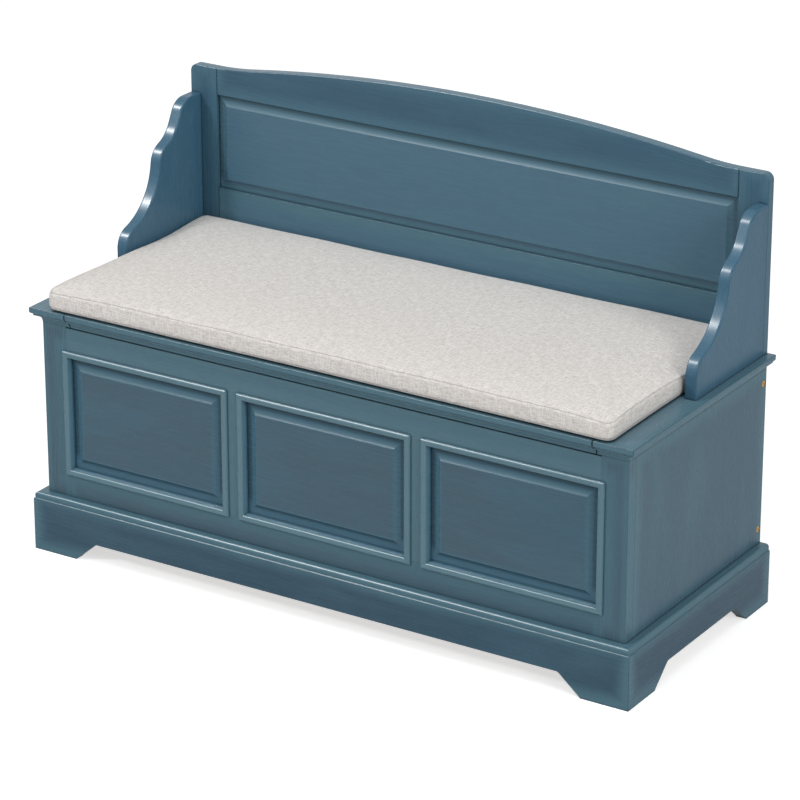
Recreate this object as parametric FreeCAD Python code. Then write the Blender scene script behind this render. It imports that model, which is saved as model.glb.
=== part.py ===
import FreeCAD, Part
import math
import os

# A lift-lid storage bench: a chest on bracket feet with a panelled front, a hinged seat lid,
# an arched panelled backrest, two scroll-cut arms and a loose cushion.
# Millimetres. The origin is on the floor under the middle of the footprint.
# +X is to the right seen from the front, +Y to the rear and +Z up.

# Main sizes
plinth_width = 1106.0
plinth_depth = 454.0
plinth_height = 100.0
seat_height = 420.0
crown_height = 747.0

# Board thicknesses
skirt_thickness = 18.0
side_thickness = 16.0
front_thickness = 22.0
back_thickness = 16.0
floor_thickness = 12.0
seat_thickness = 26.0
arm_thickness = 20.0

# Plinth: bracket feet and the moulded cap
apron_clearance = 34.5
front_foot = 82.0
rear_foot = 73.0
foot_slope = 40.0
foot_round = 9.0
cap_height = 12.0
cap_shoulder = 2.0
cap_round = 5.0
floor_height = 58.0
corner_block = 45.0

# Seat: overhang and edge moulding, lid seams, gap behind the lid
seat_overhang = 15.0
nose_height = 6.5
nose_ovolo = 4.5
nose_step = 3.0
strip_width = 68.8
lid_seam = 1.5
hinge_gap = 12.0

# Chest front: frame, panels and the mouldings applied round them
end_margin = 39.0
muntin_face = 19.0
lower_margin = 37.5
upper_margin = 41.0
panel_count = 3
moulding_width = 13.0
moulding_lap = 7.0
bead_height = 5.5
bead_quirk = 1.5
bead_round = 4.0
bead_fall = 0.6
bead_inner_round = 3.0
bead_crest_share = 0.6
panel_recess = 7.0
field_recess = 2.0
panel_flat = 4.5
panel_bevel = 14.5

# Backrest: frame and panel; the top rail is measured at the stiles, which end below the crown
stile_width = 52.0
crown_drop = 33.0
top_rail_width = 45.5
bottom_rail_width = 86.0
stile_corner = 12.0
crown_share = 0.865
back_panel_recess = 6.0
back_field_recess = 1.0
back_bevel = 18.0
bevel_hollow_depth = 1.1
joint_groove = 1.4

# Panel edges held in the frames' grooves
panel_edge = 5.0
panel_tongue = 5.0
groove_clearance = 0.2
groove_end_room = 1.0

# Arms: how far they stop below the stiles, and the front edge from the top down to the seat,
# as straights and radii in shares of the arm's height, with the curves' turns in degrees
arm_drop = 47.5
top_flat_share = 0.116
shoulder_radius_share = 0.136
shoulder_turn = 63.0
waist_straight_share = 0.079
waist_radius_share = 0.231
waist_turn = 42.0
elbow_radius_share = 0.147
elbow_turn = 60.0
sweep_straight_share = 0.019
sweep_radius_share = 0.426
sweep_turn = 64.0
toe_radius_share = 0.135

# Rounded and eased edges
eased_edge = 1.2
arm_round = 3.0
back_round = 2.0

# Hinges
hinge_count = 3
hinge_spacing = 340.0
hinge_length = 72.0
knuckle_radius = 4.0
knuckle_gap = 0.4
pin_radius = 2.0
pin_clearance = 0.05
leaf_thickness = 1.6
leaf_height = 16.0
pivot_depth = 4.6
hinge_screw_spacing = 44.0
hinge_screw_drop_share = 0.62
pin_cap_height = 1.0
pin_cap_radius = 3.0

# Screws, bolts, dowels
screw_radius = 1.6
screw_length = 12.0
screw_head_radius = 3.2
fastener_clearance = 0.2
dowel_radius = 4.0
dowel_depth = 20.0
dowel_clearance = 0.1
dowel_end_room = 1.0
bolt_radius = 3.0
bolt_length = 45.0
bolt_head_radius = 5.5
bolt_head_height = 3.0
bolt_socket_width = 4.0
bolt_socket_depth = 1.8
bolt_sunk = 0.5
bolt_low_height = 24.5
bolt_high_drop = 23.0
nut_radius = 5.0
nut_length = 12.0
nut_inset = 30.0
arm_screw_radius = 2.2
arm_screw_length = 50.0
arm_screw_head = 4.5
arm_screw_head_height = 3.0

# Lid battens and bumpers
batten_width = 40.0
batten_thickness = 20.0
batten_length = 330.0
batten_spacing = 600.0
batten_screw_length = 34.0
bumper_radius = 6.0
bumper_height = 2.0
bumper_inset = 60.0

# Cushion
cushion_side_gap = 2.5
cushion_side_height = 38.0
cushion_crown = 9.0
cushion_front_gap = 0.5
cushion_back_gap = 2.0
cushion_corner = 24.0
cushion_draw_in = 3.0
cushion_edge_round = 5.0
soft_clearance = 0.3

# One overrun for every cut that runs out of a solid
overrun = 6.0

# Places that follow from the sizes
rear = plinth_depth / 2
plinth_half = plinth_width / 2
plinth_front = -plinth_depth / 2
body_half = plinth_half - skirt_thickness
body_front = plinth_front + skirt_thickness
floor_top = floor_height + floor_thickness
seat_low = seat_height - seat_thickness
seat_half = body_half + seat_overhang
seat_front = body_front - seat_overhang
frame_back = body_front + front_thickness
side_inner = body_half - side_thickness
back_face = rear - back_thickness
stile_inner = body_half - stile_width
strip_inner = seat_half - strip_width
lid_half = strip_inner - lid_seam
lid_rear = back_face - hinge_gap
pivot_y = back_face - hinge_gap / 2
pivot_z = seat_height - pivot_depth
arm_inner = body_half - arm_thickness
stile_height = crown_height - crown_drop
top_rail_low = stile_height - top_rail_width
bottom_rail_high = seat_height + bottom_rail_width
arm_height = stile_height - arm_drop


def vec(x, y, z):
    return FreeCAD.Vector(x, y, z)


upward = vec(0, 0, 1)
rearward = vec(0, 1, 0)
rightward = vec(1, 0, 0)


def board(low, high):
    """A rectangular board between its lowest and highest corners."""
    size = [high[axis] - low[axis] for axis in range(3)]
    return Part.makeBox(size[0], size[1], size[2], vec(*low))


def rod(start, direction, radius, length):
    return Part.makeCylinder(radius, length, start, direction)


def facing_front(y):
    """Places outline points (x, z) on an upright plane seen from the front."""
    return lambda across, height: vec(across, y, height)


def facing_side(x):
    """Places outline points (y, z) on an upright plane seen from the side."""
    return lambda along, height: vec(x, along, height)


def lying(z):
    """Places outline points (x, y) on a level plane."""
    return lambda across, along: vec(across, along, z)


def arc(place, start, middle, end):
    return Part.Arc(place(*start), place(*middle), place(*end)).toShape()


def line(place, start, end):
    return Part.LineSegment(place(*start), place(*end)).toShape()


def quarter(place, start, end, centre):
    """A quarter round from start to end about a centre that is level or plumb with both."""
    radius = math.hypot(start[0] - centre[0], start[1] - centre[1])
    lean = [(start[axis] + end[axis]) / 2 - centre[axis] for axis in range(2)]
    reach = math.hypot(*lean)
    middle = [centre[axis] + lean[axis] / reach * radius for axis in range(2)]
    return arc(place, start, middle, end)


def rounded_wire(place, corners):
    """A closed wire through corners (a, b, radius), each sharp where its radius is zero."""
    count = len(corners)
    ends = []
    edges = []
    for index, (across, along, radius) in enumerate(corners):
        if not radius:
            ends.append(((across, along), (across, along)))
            continue
        toward = []
        for near in (corners[index - 1], corners[(index + 1) % count]):
            run = (near[0] - across, near[1] - along)
            reach = math.hypot(*run)
            toward.append((run[0] / reach, run[1] / reach))
        half_turn = math.acos(toward[0][0] * toward[1][0] + toward[0][1] * toward[1][1]) / 2
        back_off = radius / math.tan(half_turn)
        lean = (toward[0][0] + toward[1][0], toward[0][1] + toward[1][1])
        lean_reach = math.hypot(*lean)
        nearest = radius / math.sin(half_turn) - radius
        start = (across + toward[0][0] * back_off, along + toward[0][1] * back_off)
        middle = (across + lean[0] / lean_reach * nearest, along + lean[1] / lean_reach * nearest)
        end = (across + toward[1][0] * back_off, along + toward[1][1] * back_off)
        edges.append(arc(place, start, middle, end))
        ends.append((start, end))
    for index in range(count):
        start = ends[index][1]
        end = ends[(index + 1) % count][0]
        edges.append(line(place, start, end))
    return Part.Wire(Part.__sortEdges__(edges))


def prism(wire, direction):
    return Part.Face(wire).extrude(direction)


def outline_prism(edges, direction):
    return prism(Part.Wire(edges), direction)


def cut_all(shape, cutters):
    for cutter in cutters:
        shape = shape.cut(cutter)
    return shape


def eased(shape, radius, chosen):
    """Rounds the edges of a shape that the test picks."""
    edges = [edge for edge in shape.Edges if chosen(edge)]
    return shape.makeFillet(radius, edges)


def spans(edge, axis):
    """True for a straight edge along an axis."""
    ends = [vertex.Point for vertex in edge.Vertexes]
    if len(ends) < 2:
        return False
    run = ends[1] - ends[0]
    return abs(abs(run[axis]) - run.Length) < 0.001 * run.Length


def at(edge, axis, value):
    """True for an edge whose box lies at a value on an axis."""
    box = edge.BoundBox
    low = (box.XMin, box.YMin, box.ZMin)[axis]
    high = (box.XMax, box.YMax, box.ZMax)[axis]
    near = plinth_width * 1e-6
    return abs(low - value) < near and abs(high - value) < near


def mirrored(shape):
    return shape.mirror(vec(0, 0, 0), vec(1, 0, 0))


def save(name, solids):
    """Writes one node: a solid, or a group of separate solids."""
    shape = solids[0] if len(solids) == 1 else Part.makeCompound(solids)
    shape.exportStep(os.path.join("parts", name + ".step"))


def save_pair(name, right):
    """Writes a piece and its mirror image on the other side."""
    save(name + "_right", [right])
    save(name + "_left", [mirrored(right)])


def both_sides(solids):
    return solids + [mirrored(solid) for solid in solids]


# Dowels: each is a rod centred on a joint, and its hole is a little wider and longer

def dowel(centre, direction, depth):
    start = centre - direction * depth
    return rod(start, direction, dowel_radius, 2 * depth)


def dowel_hole(centre, direction, depth):
    length = depth + dowel_end_room
    start = centre - direction * length
    return rod(start, direction, dowel_radius + dowel_clearance, 2 * length)


def dowels(places):
    return [dowel(*place) for place in places]


def dowel_holes(places):
    return [dowel_hole(*place) for place in places]


def mirrored_places(places):
    return places + [(vec(-centre.x, centre.y, centre.z), direction, depth)
                     for centre, direction, depth in places]


# Plinth

def foot_cut(low, low_foot, high, high_foot, place, direction):
    """The gap under an apron, between two bracket feet with sloping, rounded shoulders."""
    corners = [
        (low + low_foot, -overrun, 0),
        (low + low_foot, 0, foot_round),
        (low + low_foot + foot_slope, apron_clearance, foot_round),
        (high - high_foot - foot_slope, apron_clearance, foot_round),
        (high - high_foot, 0, foot_round),
        (high - high_foot, -overrun, 0),
    ]
    return prism(rounded_wire(place, corners), direction)


def cap_cut(place, direction):
    """What the cap moulding leaves off a board, in points (inwards from the face, height)."""
    shoulder = plinth_height - cap_height
    nose = plinth_height - cap_round
    inner = cap_shoulder + cap_round
    edges = [
        line(place, (-overrun, shoulder), (0, shoulder)),
        quarter(place, (0, shoulder), (cap_shoulder, shoulder + cap_shoulder), (cap_shoulder, shoulder)),
        line(place, (cap_shoulder, shoulder + cap_shoulder), (cap_shoulder, nose)),
        quarter(place, (cap_shoulder, nose), (inner, plinth_height), (inner, nose)),
        line(place, (inner, plinth_height), (inner, plinth_height + overrun)),
        line(place, (inner, plinth_height + overrun), (-overrun, plinth_height + overrun)),
        line(place, (-overrun, plinth_height + overrun), (-overrun, shoulder)),
    ]
    return outline_prism(edges, direction)


def plinth_front_board():
    corners = [
        (-plinth_half, plinth_front, 0),
        (plinth_half, plinth_front, 0),
        (body_half, body_front, 0),
        (-body_half, body_front, 0),
    ]
    solid = prism(rounded_wire(lying(0), corners), vec(0, 0, plinth_height))
    through = vec(0, skirt_thickness + 2 * overrun, 0)
    feet = foot_cut(-plinth_half, front_foot, plinth_half, front_foot,
                    facing_front(plinth_front - overrun), through)
    cap = cap_cut(lambda inward, height: vec(-plinth_half - overrun, plinth_front + inward, height),
                  vec(plinth_width + 2 * overrun, 0, 0))
    return cut_all(solid, [feet, cap])


def plinth_side_board():
    corners = [
        (plinth_half, plinth_front, 0),
        (plinth_half, rear, 0),
        (body_half, rear, 0),
        (body_half, body_front, 0),
    ]
    solid = prism(rounded_wire(lying(0), corners), vec(0, 0, plinth_height))
    through = vec(skirt_thickness + 2 * overrun, 0, 0)
    feet = foot_cut(plinth_front, front_foot, rear, rear_foot, facing_side(body_half - overrun), through)
    cap = cap_cut(lambda inward, height: vec(plinth_half - inward, plinth_front - overrun, height),
                  vec(0, plinth_depth + 2 * overrun, 0))
    return cut_all(solid, [feet, cap])


def corner_blocks():
    """Glue blocks in the four corners of the plinth, from the floor up to the box floor."""
    inner = body_half - corner_block
    front_block = board((inner, body_front, 0), (body_half, body_front + corner_block, floor_height))
    rear_block = board((inner, back_face - corner_block, 0), (body_half, back_face, floor_height))
    return both_sides([front_block, rear_block])


def make_plinth():
    save("plinth_front", [plinth_front_board()])
    save_pair("plinth_side", plinth_side_board())
    save("corner_blocks", corner_blocks())
    save("plinth_back_rail", [board((-body_half, back_face, apron_clearance),
                                    (body_half, rear, floor_height))])
    save("box_floor", [board((-body_half, body_front, floor_height), (body_half, rear, floor_top))])


# Chest: places of its dowels and bolts

side_middle = body_half - side_thickness / 2
front_middle = body_front + front_thickness / 2
side_dowel_shares = (0.12, 0.5, 0.88)
front_dowel_share = 0.7
strip_dowel_shares = (0.2, 0.7)
chest_height = seat_low - floor_top
chest_depth = rear - frame_back
front_dowel_depth = front_thickness * front_dowel_share

side_dowel_places = [
    (vec(side_middle, frame_back, floor_top + share * chest_height), rearward, front_dowel_depth)
    for share in side_dowel_shares
]
strip_dowel_places = [
    (vec(side_middle, frame_back + share * chest_depth, seat_low), upward, dowel_depth)
    for share in strip_dowel_shares
]
bolt_levels = (plinth_height + bolt_low_height, seat_low - bolt_high_drop)
bolt_y = rear - back_thickness / 2


def bolt(level):
    """A bolt from outside through the side panel into the edge of the back board."""
    face = body_half - bolt_sunk
    seat = face - bolt_head_height
    head = rod(vec(seat, bolt_y, level), rightward, bolt_head_radius, bolt_head_height)
    shank = rod(vec(seat - bolt_length, bolt_y, level), rightward, bolt_radius, bolt_length)
    socket = prism(hexagon(vec(face - bolt_socket_depth, bolt_y, level), bolt_socket_width / 2),
                   vec(bolt_socket_depth + overrun, 0, 0))

    def rim(edge):
        return at(edge, 0, face) and edge.Length > math.pi * bolt_head_radius

    return eased(head.cut(socket), bolt_sunk, rim).fuse(shank)


def hexagon(centre, radius):
    points = []
    for corner in range(6):
        angle = 2 * math.pi * corner / 6
        points.append(centre + vec(0, radius * math.cos(angle), radius * math.sin(angle)))
    return Part.makePolygon(points + [points[0]])


def bolt_hole(level):
    seat = body_half - bolt_sunk - bolt_head_height
    head = rod(vec(seat, bolt_y, level), rightward,
               bolt_head_radius + fastener_clearance, bolt_head_height + overrun)
    shank = rod(vec(seat - bolt_length - dowel_end_room, bolt_y, level), rightward,
                bolt_radius + fastener_clearance, bolt_length + overrun)
    return head.fuse(shank)


def barrel_nut(level):
    """A cross dowel that the bolt screws into, put in from inside the chest."""
    start = vec(side_inner - nut_inset, back_face + dowel_end_room, level)
    return rod(start, rearward, nut_radius, nut_length)


def barrel_nut_hole(level):
    start = vec(side_inner - nut_inset, back_face - overrun, level)
    depth = nut_length + 2 * dowel_end_room
    return rod(start, rearward, nut_radius + dowel_clearance, depth + overrun)


def side_panel():
    solid = board((side_inner, frame_back, floor_top), (body_half, rear, seat_low))
    holes = [bolt_hole(level) for level in bolt_levels]
    return cut_all(solid, holes + dowel_holes(side_dowel_places + strip_dowel_places))


def back_board():
    solid = board((-side_inner, back_face, floor_top), (side_inner, rear, seat_low))
    holes = [bolt_hole(level) for level in bolt_levels] + [barrel_nut_hole(level) for level in bolt_levels]
    return cut_all(solid, both_sides(holes) + dowel_holes(upright_dowel_places()))


# Chest front: one opening for each panel, counted from the left

moulding_low = plinth_height + lower_margin
moulding_high = seat_low - upper_margin
mouldings_span = 2 * (body_half - end_margin)
moulding_span = (mouldings_span - (panel_count - 1) * muntin_face) / panel_count
moulding_pitch = moulding_span + muntin_face
rail_top = seat_low - bumper_height
front_stile_inner = body_half - end_margin - moulding_lap
muntin_width = muntin_face + 2 * moulding_lap
upper_rail_dowel_shares = (0.45, 0.75)
lower_rail_dowel_shares = (0.3, 0.7)
panel_names = ("left", "centre", "right")
muntin_names = ("left", "right")
opening_low = moulding_low + moulding_lap
opening_high = moulding_high - moulding_lap


def moulding_left(index):
    """The outer left edge of one panel's moulding."""
    return -mouldings_span / 2 + index * moulding_pitch


def opening_left(index):
    return moulding_left(index) + moulding_lap


def opening_right(index):
    return moulding_left(index) + moulding_span - moulding_lap


def groove_ring(left, right, low, high, recess, face):
    """The space that a panel's edge takes in the grooves of its frame."""
    reach = panel_tongue + groove_end_room
    front = face + recess - groove_clearance
    back = face + recess + panel_edge + groove_clearance
    return board((left - reach, front, low - reach), (right + reach, back, high + reach))


def panel_section(place, low, high, rim, field, flat, bevel):
    """The section of a raised panel, in points (along, depth): edge, hollow bevel, field and back."""
    back = rim + panel_edge
    ends = (low - panel_tongue, high + panel_tongue)
    rise = rim - field
    slope = math.hypot(bevel, rise)
    run = flat + bevel / 2 + bevel_hollow_depth * rise / slope
    depth = (rim + field) / 2 + bevel_hollow_depth * bevel / slope
    return Part.Wire([
        line(place, (ends[0], back), (ends[0], rim)),
        line(place, (ends[0], rim), (low + flat, rim)),
        arc(place, (low + flat, rim), (low + run, depth), (low + flat + bevel, field)),
        line(place, (low + flat + bevel, field), (high - flat - bevel, field)),
        arc(place, (high - flat - bevel, field), (high - run, depth), (high - flat, rim)),
        line(place, (high - flat, rim), (ends[1], rim)),
        line(place, (ends[1], rim), (ends[1], back)),
        line(place, (ends[1], back), (ends[0], back)),
    ])


def raised_panel(left, right, low, high, face, recess, field, flat, bevel):
    """A panel for an opening: a thin edge in the grooves, a hollow bevel and a flat field."""
    sizes = (face + recess, face + field, flat, bevel)
    upright = panel_section(lambda along, depth: vec(left - panel_tongue, depth, along), low, high, *sizes)
    level = panel_section(lambda along, depth: vec(along, depth, low - panel_tongue), left, right, *sizes)
    length = right - left + 2 * panel_tongue
    height = high - low + 2 * panel_tongue
    return prism(upright, vec(length, 0, 0)).common(prism(level, vec(0, 0, height)))


def front_dowel_places():
    """Dowels between the rails and stiles, and between the muntins and rails."""
    levels = [opening_high + share * (rail_top - opening_high) for share in upper_rail_dowel_shares]
    levels += [floor_top + share * (opening_low - floor_top) for share in lower_rail_dowel_shares]
    places = mirrored_places([(vec(front_stile_inner, front_middle, level), rightward, dowel_depth)
                              for level in levels])
    for index in range(panel_count - 1):
        middle = moulding_left(index) + moulding_span + muntin_face / 2
        for level in (opening_low, opening_high):
            places.append((vec(middle, front_middle, level), upward, dowel_depth))
    return places


def moulding_profile(place):
    """The section of a panel moulding, in points (inwards from its outer edge, out of the face)."""
    crest = bead_round + (moulding_width - bead_round - bead_inner_round) * bead_crest_share
    inner_top = bead_height - bead_fall
    inner_side = crest + bead_inner_round
    inner_low = inner_top - bead_inner_round
    lean = bead_inner_round * math.sqrt(0.5)
    return Part.Wire([
        line(place, (0, 0), (0, bead_quirk)),
        quarter(place, (0, bead_quirk), (bead_round, bead_height), (bead_round, bead_quirk)),
        line(place, (bead_round, bead_height), (crest, inner_top)),
        arc(place, (crest, inner_top), (crest + lean, inner_low + lean), (inner_side, inner_low)),
        line(place, (inner_side, inner_low), (moulding_width, -field_recess)),
        line(place, (moulding_width, -field_recess), (moulding_width, -panel_recess)),
        line(place, (moulding_width, -panel_recess), (moulding_lap, -panel_recess)),
        line(place, (moulding_lap, -panel_recess), (moulding_lap, 0)),
        line(place, (moulding_lap, 0), (0, 0)),
    ])


def mitre_wedge(outer, toward):
    """Keeps the mitred length of a strip: outer gives two outer corners, toward points inwards."""
    (start_across, start_up), (end_across, end_up) = outer
    along = (math.copysign(moulding_width, end_across - start_across) if end_across != start_across else 0,
             math.copysign(moulding_width, end_up - start_up) if end_up != start_up else 0)
    inward = (toward[0] * moulding_width, toward[1] * moulding_width)
    corners = [
        (start_across, start_up, 0),
        (end_across, end_up, 0),
        (end_across - along[0] + inward[0], end_up - along[1] + inward[1], 0),
        (start_across + along[0] + inward[0], start_up + along[1] + inward[1], 0),
    ]
    front = body_front - bead_height - overrun
    depth = bead_height + panel_recess + 2 * overrun
    return prism(rounded_wire(facing_front(front), corners), vec(0, depth, 0))


def moulding_strips(index):
    """Four mitred strips round one panel."""
    left = moulding_left(index)
    right = left + moulding_span
    low = moulding_low
    high = moulding_high
    across = vec(right - left, 0, 0)
    upright = vec(0, 0, high - low)
    runs = [
        (lambda u, w: vec(left, body_front - w, low + u), across, ((left, low), (right, low)), (0, 1)),
        (lambda u, w: vec(left, body_front - w, high - u), across, ((left, high), (right, high)), (0, -1)),
        (lambda u, w: vec(left + u, body_front - w, low), upright, ((left, low), (left, high)), (1, 0)),
        (lambda u, w: vec(right - u, body_front - w, low), upright, ((right, low), (right, high)), (-1, 0)),
    ]
    strips = []
    for place, run, outer, toward in runs:
        strip = prism(moulding_profile(place), run)
        strips.append(strip.common(mitre_wedge(outer, toward)))
    return strips


def make_front():
    grooves = [groove_ring(opening_left(index), opening_right(index), opening_low, opening_high,
                           panel_recess, body_front) for index in range(panel_count)]
    cutters = grooves + dowel_holes(front_dowel_places())
    stile = board((front_stile_inner, body_front, floor_top), (body_half, frame_back, seat_low))
    stile = eased(stile, eased_edge,
                  lambda edge: spans(edge, 2) and at(edge, 0, body_half) and at(edge, 1, body_front))
    stile_holes = dowel_holes(side_dowel_places)
    save_pair("front_stile", cut_all(stile, cutters + stile_holes))
    low_rail = board((-front_stile_inner, body_front, floor_top),
                     (front_stile_inner, frame_back, opening_low))
    save("front_rail_bottom", [cut_all(low_rail, cutters)])
    high_rail = board((-front_stile_inner, body_front, opening_high),
                      (front_stile_inner, frame_back, rail_top))
    save("front_rail_top", [cut_all(high_rail, cutters)])
    for index in range(panel_count):
        panel = raised_panel(opening_left(index), opening_right(index), opening_low, opening_high,
                             body_front, panel_recess, field_recess,
                             moulding_width - moulding_lap + panel_flat, panel_bevel)
        save("front_panel_" + panel_names[index], [panel])
        save("panel_moulding_" + panel_names[index], moulding_strips(index))
    for index in range(panel_count - 1):
        left = opening_right(index)
        muntin = board((left, body_front, opening_low), (left + muntin_width, frame_back, opening_high))
        save("front_muntin_" + muntin_names[index], [cut_all(muntin, cutters)])
    save("front_dowels", dowels(front_dowel_places()) + both_sides(dowels(side_dowel_places)))


def make_chest():
    save_pair("side_panel", side_panel())
    save("back_board", [back_board()])
    save("body_bolts", both_sides([bolt(level) for level in bolt_levels]))
    nut_bore = [bolt_hole(level) for level in bolt_levels]
    save("barrel_nuts", both_sides([cut_all(barrel_nut(level), nut_bore) for level in bolt_levels]))


# Seat: the two end strips, the lid and the rail behind it

def nose_cut(place, direction):
    """What the edge moulding leaves off a seat board, in points (inwards from the edge, height)."""
    ovolo_top = seat_height - nose_height
    step_top = ovolo_top - nose_ovolo
    step_low = step_top - nose_step
    cove_low = step_low - (seat_overhang - nose_ovolo)
    below = seat_low - overrun
    edges = [
        line(place, (-overrun, ovolo_top), (0, ovolo_top)),
        quarter(place, (0, ovolo_top), (nose_ovolo, step_top), (nose_ovolo, ovolo_top)),
        line(place, (nose_ovolo, step_top), (nose_ovolo, step_low)),
        quarter(place, (nose_ovolo, step_low), (seat_overhang, cove_low), (nose_ovolo, cove_low)),
        line(place, (seat_overhang, cove_low), (seat_overhang, below)),
        line(place, (seat_overhang, below), (-overrun, below)),
        line(place, (-overrun, below), (-overrun, ovolo_top)),
    ]
    return outline_prism(edges, direction)


def front_nose_cut():
    return nose_cut(lambda inward, height: vec(-seat_half - overrun, seat_front + inward, height),
                    vec(2 * (seat_half + overrun), 0, 0))


def seat_strip():
    solid = board((strip_inner, seat_front, seat_low), (seat_half, rear, seat_height))

    def outer_top(edge):
        return at(edge, 2, seat_height) and (at(edge, 0, seat_half) or at(edge, 1, seat_front))

    solid = eased(solid, eased_edge, outer_top)
    end_nose = nose_cut(lambda inward, height: vec(seat_half - inward, seat_front - overrun, height),
                        vec(0, rear - seat_front + 2 * overrun, 0))
    holes = dowel_holes(strip_dowel_places + arm_dowel_places() + [stile_dowel_place()])
    return cut_all(solid, [front_nose_cut(), end_nose] + holes)


def lid_board():
    solid = board((-lid_half, seat_front, seat_low), (lid_half, lid_rear, seat_height))
    solid = eased(solid, eased_edge, lambda edge: at(edge, 2, seat_height) and at(edge, 1, seat_front))
    return cut_all(solid, [front_nose_cut()] + lid_screw_holes() + batten_screw_holes())


def seat_rear_rail():
    solid = board((-strip_inner, back_face, seat_low), (strip_inner, rear, seat_height))
    return cut_all(solid, rail_screw_holes() + dowel_holes(upright_dowel_places()))


bumper_shares = (-1, -0.33, 0.33, 1)


def bumpers():
    level = seat_low - bumper_height
    reach = lid_half - bumper_inset
    return [rod(vec(share * reach, front_middle, level), upward, bumper_radius, bumper_height)
            for share in bumper_shares]


# Battens under the lid, each held by three screws from below

batten_low = seat_low - batten_thickness
batten_middle = (frame_back + back_face) / 2
batten_screw_shares = (-0.4, 0, 0.4)


def batten_places():
    return [(side * batten_spacing / 2, batten_middle + share * batten_length)
            for side in (-1, 1) for share in batten_screw_shares]


def screw(tip, direction, radius, length, head_radius, head_height):
    """A screw with its head's outer face at tip, pointing along direction."""
    head = rod(tip, direction, head_radius, head_height)
    return head.fuse(rod(tip, direction, radius, length))


def screw_hole(tip, direction, radius, length, head_radius, head_height):
    head = rod(tip - direction * overrun, direction, head_radius + fastener_clearance,
               head_height + overrun)
    shank = rod(tip, direction, radius + fastener_clearance, length + dowel_end_room)
    return head.fuse(shank)


def batten_screw_sizes():
    return screw_radius, batten_screw_length, screw_head_radius, leaf_thickness


def batten_screws():
    return [screw(vec(x, y, batten_low), upward, *batten_screw_sizes()) for x, y in batten_places()]


def batten_screw_holes():
    return [screw_hole(vec(x, y, batten_low), upward, *batten_screw_sizes()) for x, y in batten_places()]


def lid_battens():
    battens = []
    for side in (-1, 1):
        middle = side * batten_spacing / 2
        batten = board((middle - batten_width / 2, batten_middle - batten_length / 2, batten_low),
                       (middle + batten_width / 2, batten_middle + batten_length / 2, seat_low))
        batten = eased(batten, eased_edge, lambda edge: at(edge, 2, batten_low))
        battens.append(cut_all(batten, batten_screw_holes()))
    return battens


# Hinges: a leaf on the rail's front face, a leaf on the lid's rear edge, five knuckles and a pin

hinge_places = [(index - (hinge_count - 1) / 2) * hinge_spacing for index in range(hinge_count)]
knuckle_count = 5
knuckle_pitch = hinge_length / knuckle_count
screw_level = pivot_z - leaf_height * hinge_screw_drop_share


def hinge_leaf(middle, side, first):
    """One leaf: side is 1 on the rail and -1 on the lid, first is its first knuckle, 0 or 1."""
    outer = pivot_y + side * hinge_gap / 2
    inner = outer - side * leaf_thickness
    start = middle - hinge_length / 2
    leaf = board((start, min(inner, outer), pivot_z - leaf_height),
                 (start + hinge_length, max(inner, outer), pivot_z))
    for index in range(first, knuckle_count, 2):
        low = start + index * knuckle_pitch + knuckle_gap / 2
        length = knuckle_pitch - knuckle_gap
        knuckle = rod(vec(low, pivot_y, pivot_z), rightward, knuckle_radius, length)
        web_end = pivot_y + side * knuckle_radius / 2
        web = board((low, min(web_end, outer), pivot_z - knuckle_radius),
                    (low + length, max(web_end, outer), pivot_z))
        leaf = leaf.fuse(knuckle).fuse(web)
    bore = rod(vec(start - overrun, pivot_y, pivot_z), rightward, pin_radius + pin_clearance,
               hinge_length + 2 * overrun)
    return leaf.cut(bore).removeSplitter()


def hinge_pin(middle):
    start = vec(middle - hinge_length / 2, pivot_y, pivot_z)
    pin = rod(start, rightward, pin_radius, hinge_length)
    left_cap = rod(start - rightward * pin_cap_height, rightward, pin_cap_radius, pin_cap_height)
    right_cap = rod(start + rightward * hinge_length, rightward, pin_cap_radius, pin_cap_height)
    return pin.fuse(left_cap).fuse(right_cap)


def hinge_screw_places(side):
    face = pivot_y + side * (hinge_gap / 2 - leaf_thickness)
    return [vec(middle + offset * hinge_screw_spacing / 2, face, screw_level)
            for middle in hinge_places for offset in (-1, 1)]


def hinge_screw_sizes():
    return screw_radius, screw_length, screw_head_radius, leaf_thickness


def hinge_screws(side):
    return [screw(place, rearward * side, *hinge_screw_sizes()) for place in hinge_screw_places(side)]


def hinge_screw_holes(side):
    return [screw_hole(place, rearward * side, *hinge_screw_sizes()) for place in hinge_screw_places(side)]


def rail_screw_holes():
    return hinge_screw_holes(1)


def lid_screw_holes():
    return hinge_screw_holes(-1)


def make_hinges():
    fixed = [cut_all(hinge_leaf(middle, 1, 0), rail_screw_holes()) for middle in hinge_places]
    moving = [cut_all(hinge_leaf(middle, -1, 1), lid_screw_holes()) for middle in hinge_places]
    save("hinge_fixed_leaves", fixed)
    save("hinge_moving_leaves", moving)
    save("hinge_pins", [hinge_pin(middle) for middle in hinge_places])
    save("hinge_rail_screws", hinge_screws(1))
    save("hinge_lid_screws", hinge_screws(-1))


def make_seat():
    save_pair("seat_strip", seat_strip())
    save("lid_board", [lid_board()])
    save("seat_rear_rail", [seat_rear_rail()])
    save("lid_bumpers", bumpers())
    save("lid_battens", lid_battens())
    save("batten_screws", batten_screws())
    save("strip_dowels", both_sides(dowels(strip_dowel_places)))


# Backrest

upright_dowel_shares = (-0.82, -0.3, 0.3, 0.82)
low_rail_dowel_shares = (0.25, 0.7)
top_rail_dowel_share = 0.5
back_middle = rear - back_thickness / 2


def upright_dowel_places():
    """Long dowels up through the back board, the rail behind the lid and the backrest."""
    middle_level = seat_low + seat_thickness / 2
    depth = seat_thickness / 2 + dowel_depth
    return [(vec(share * strip_inner, back_middle, middle_level), upward, depth)
            for share in upright_dowel_shares]


def stile_dowel_place():
    return (vec(body_half - stile_width / 2, back_middle, seat_height), upward, dowel_depth)


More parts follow.
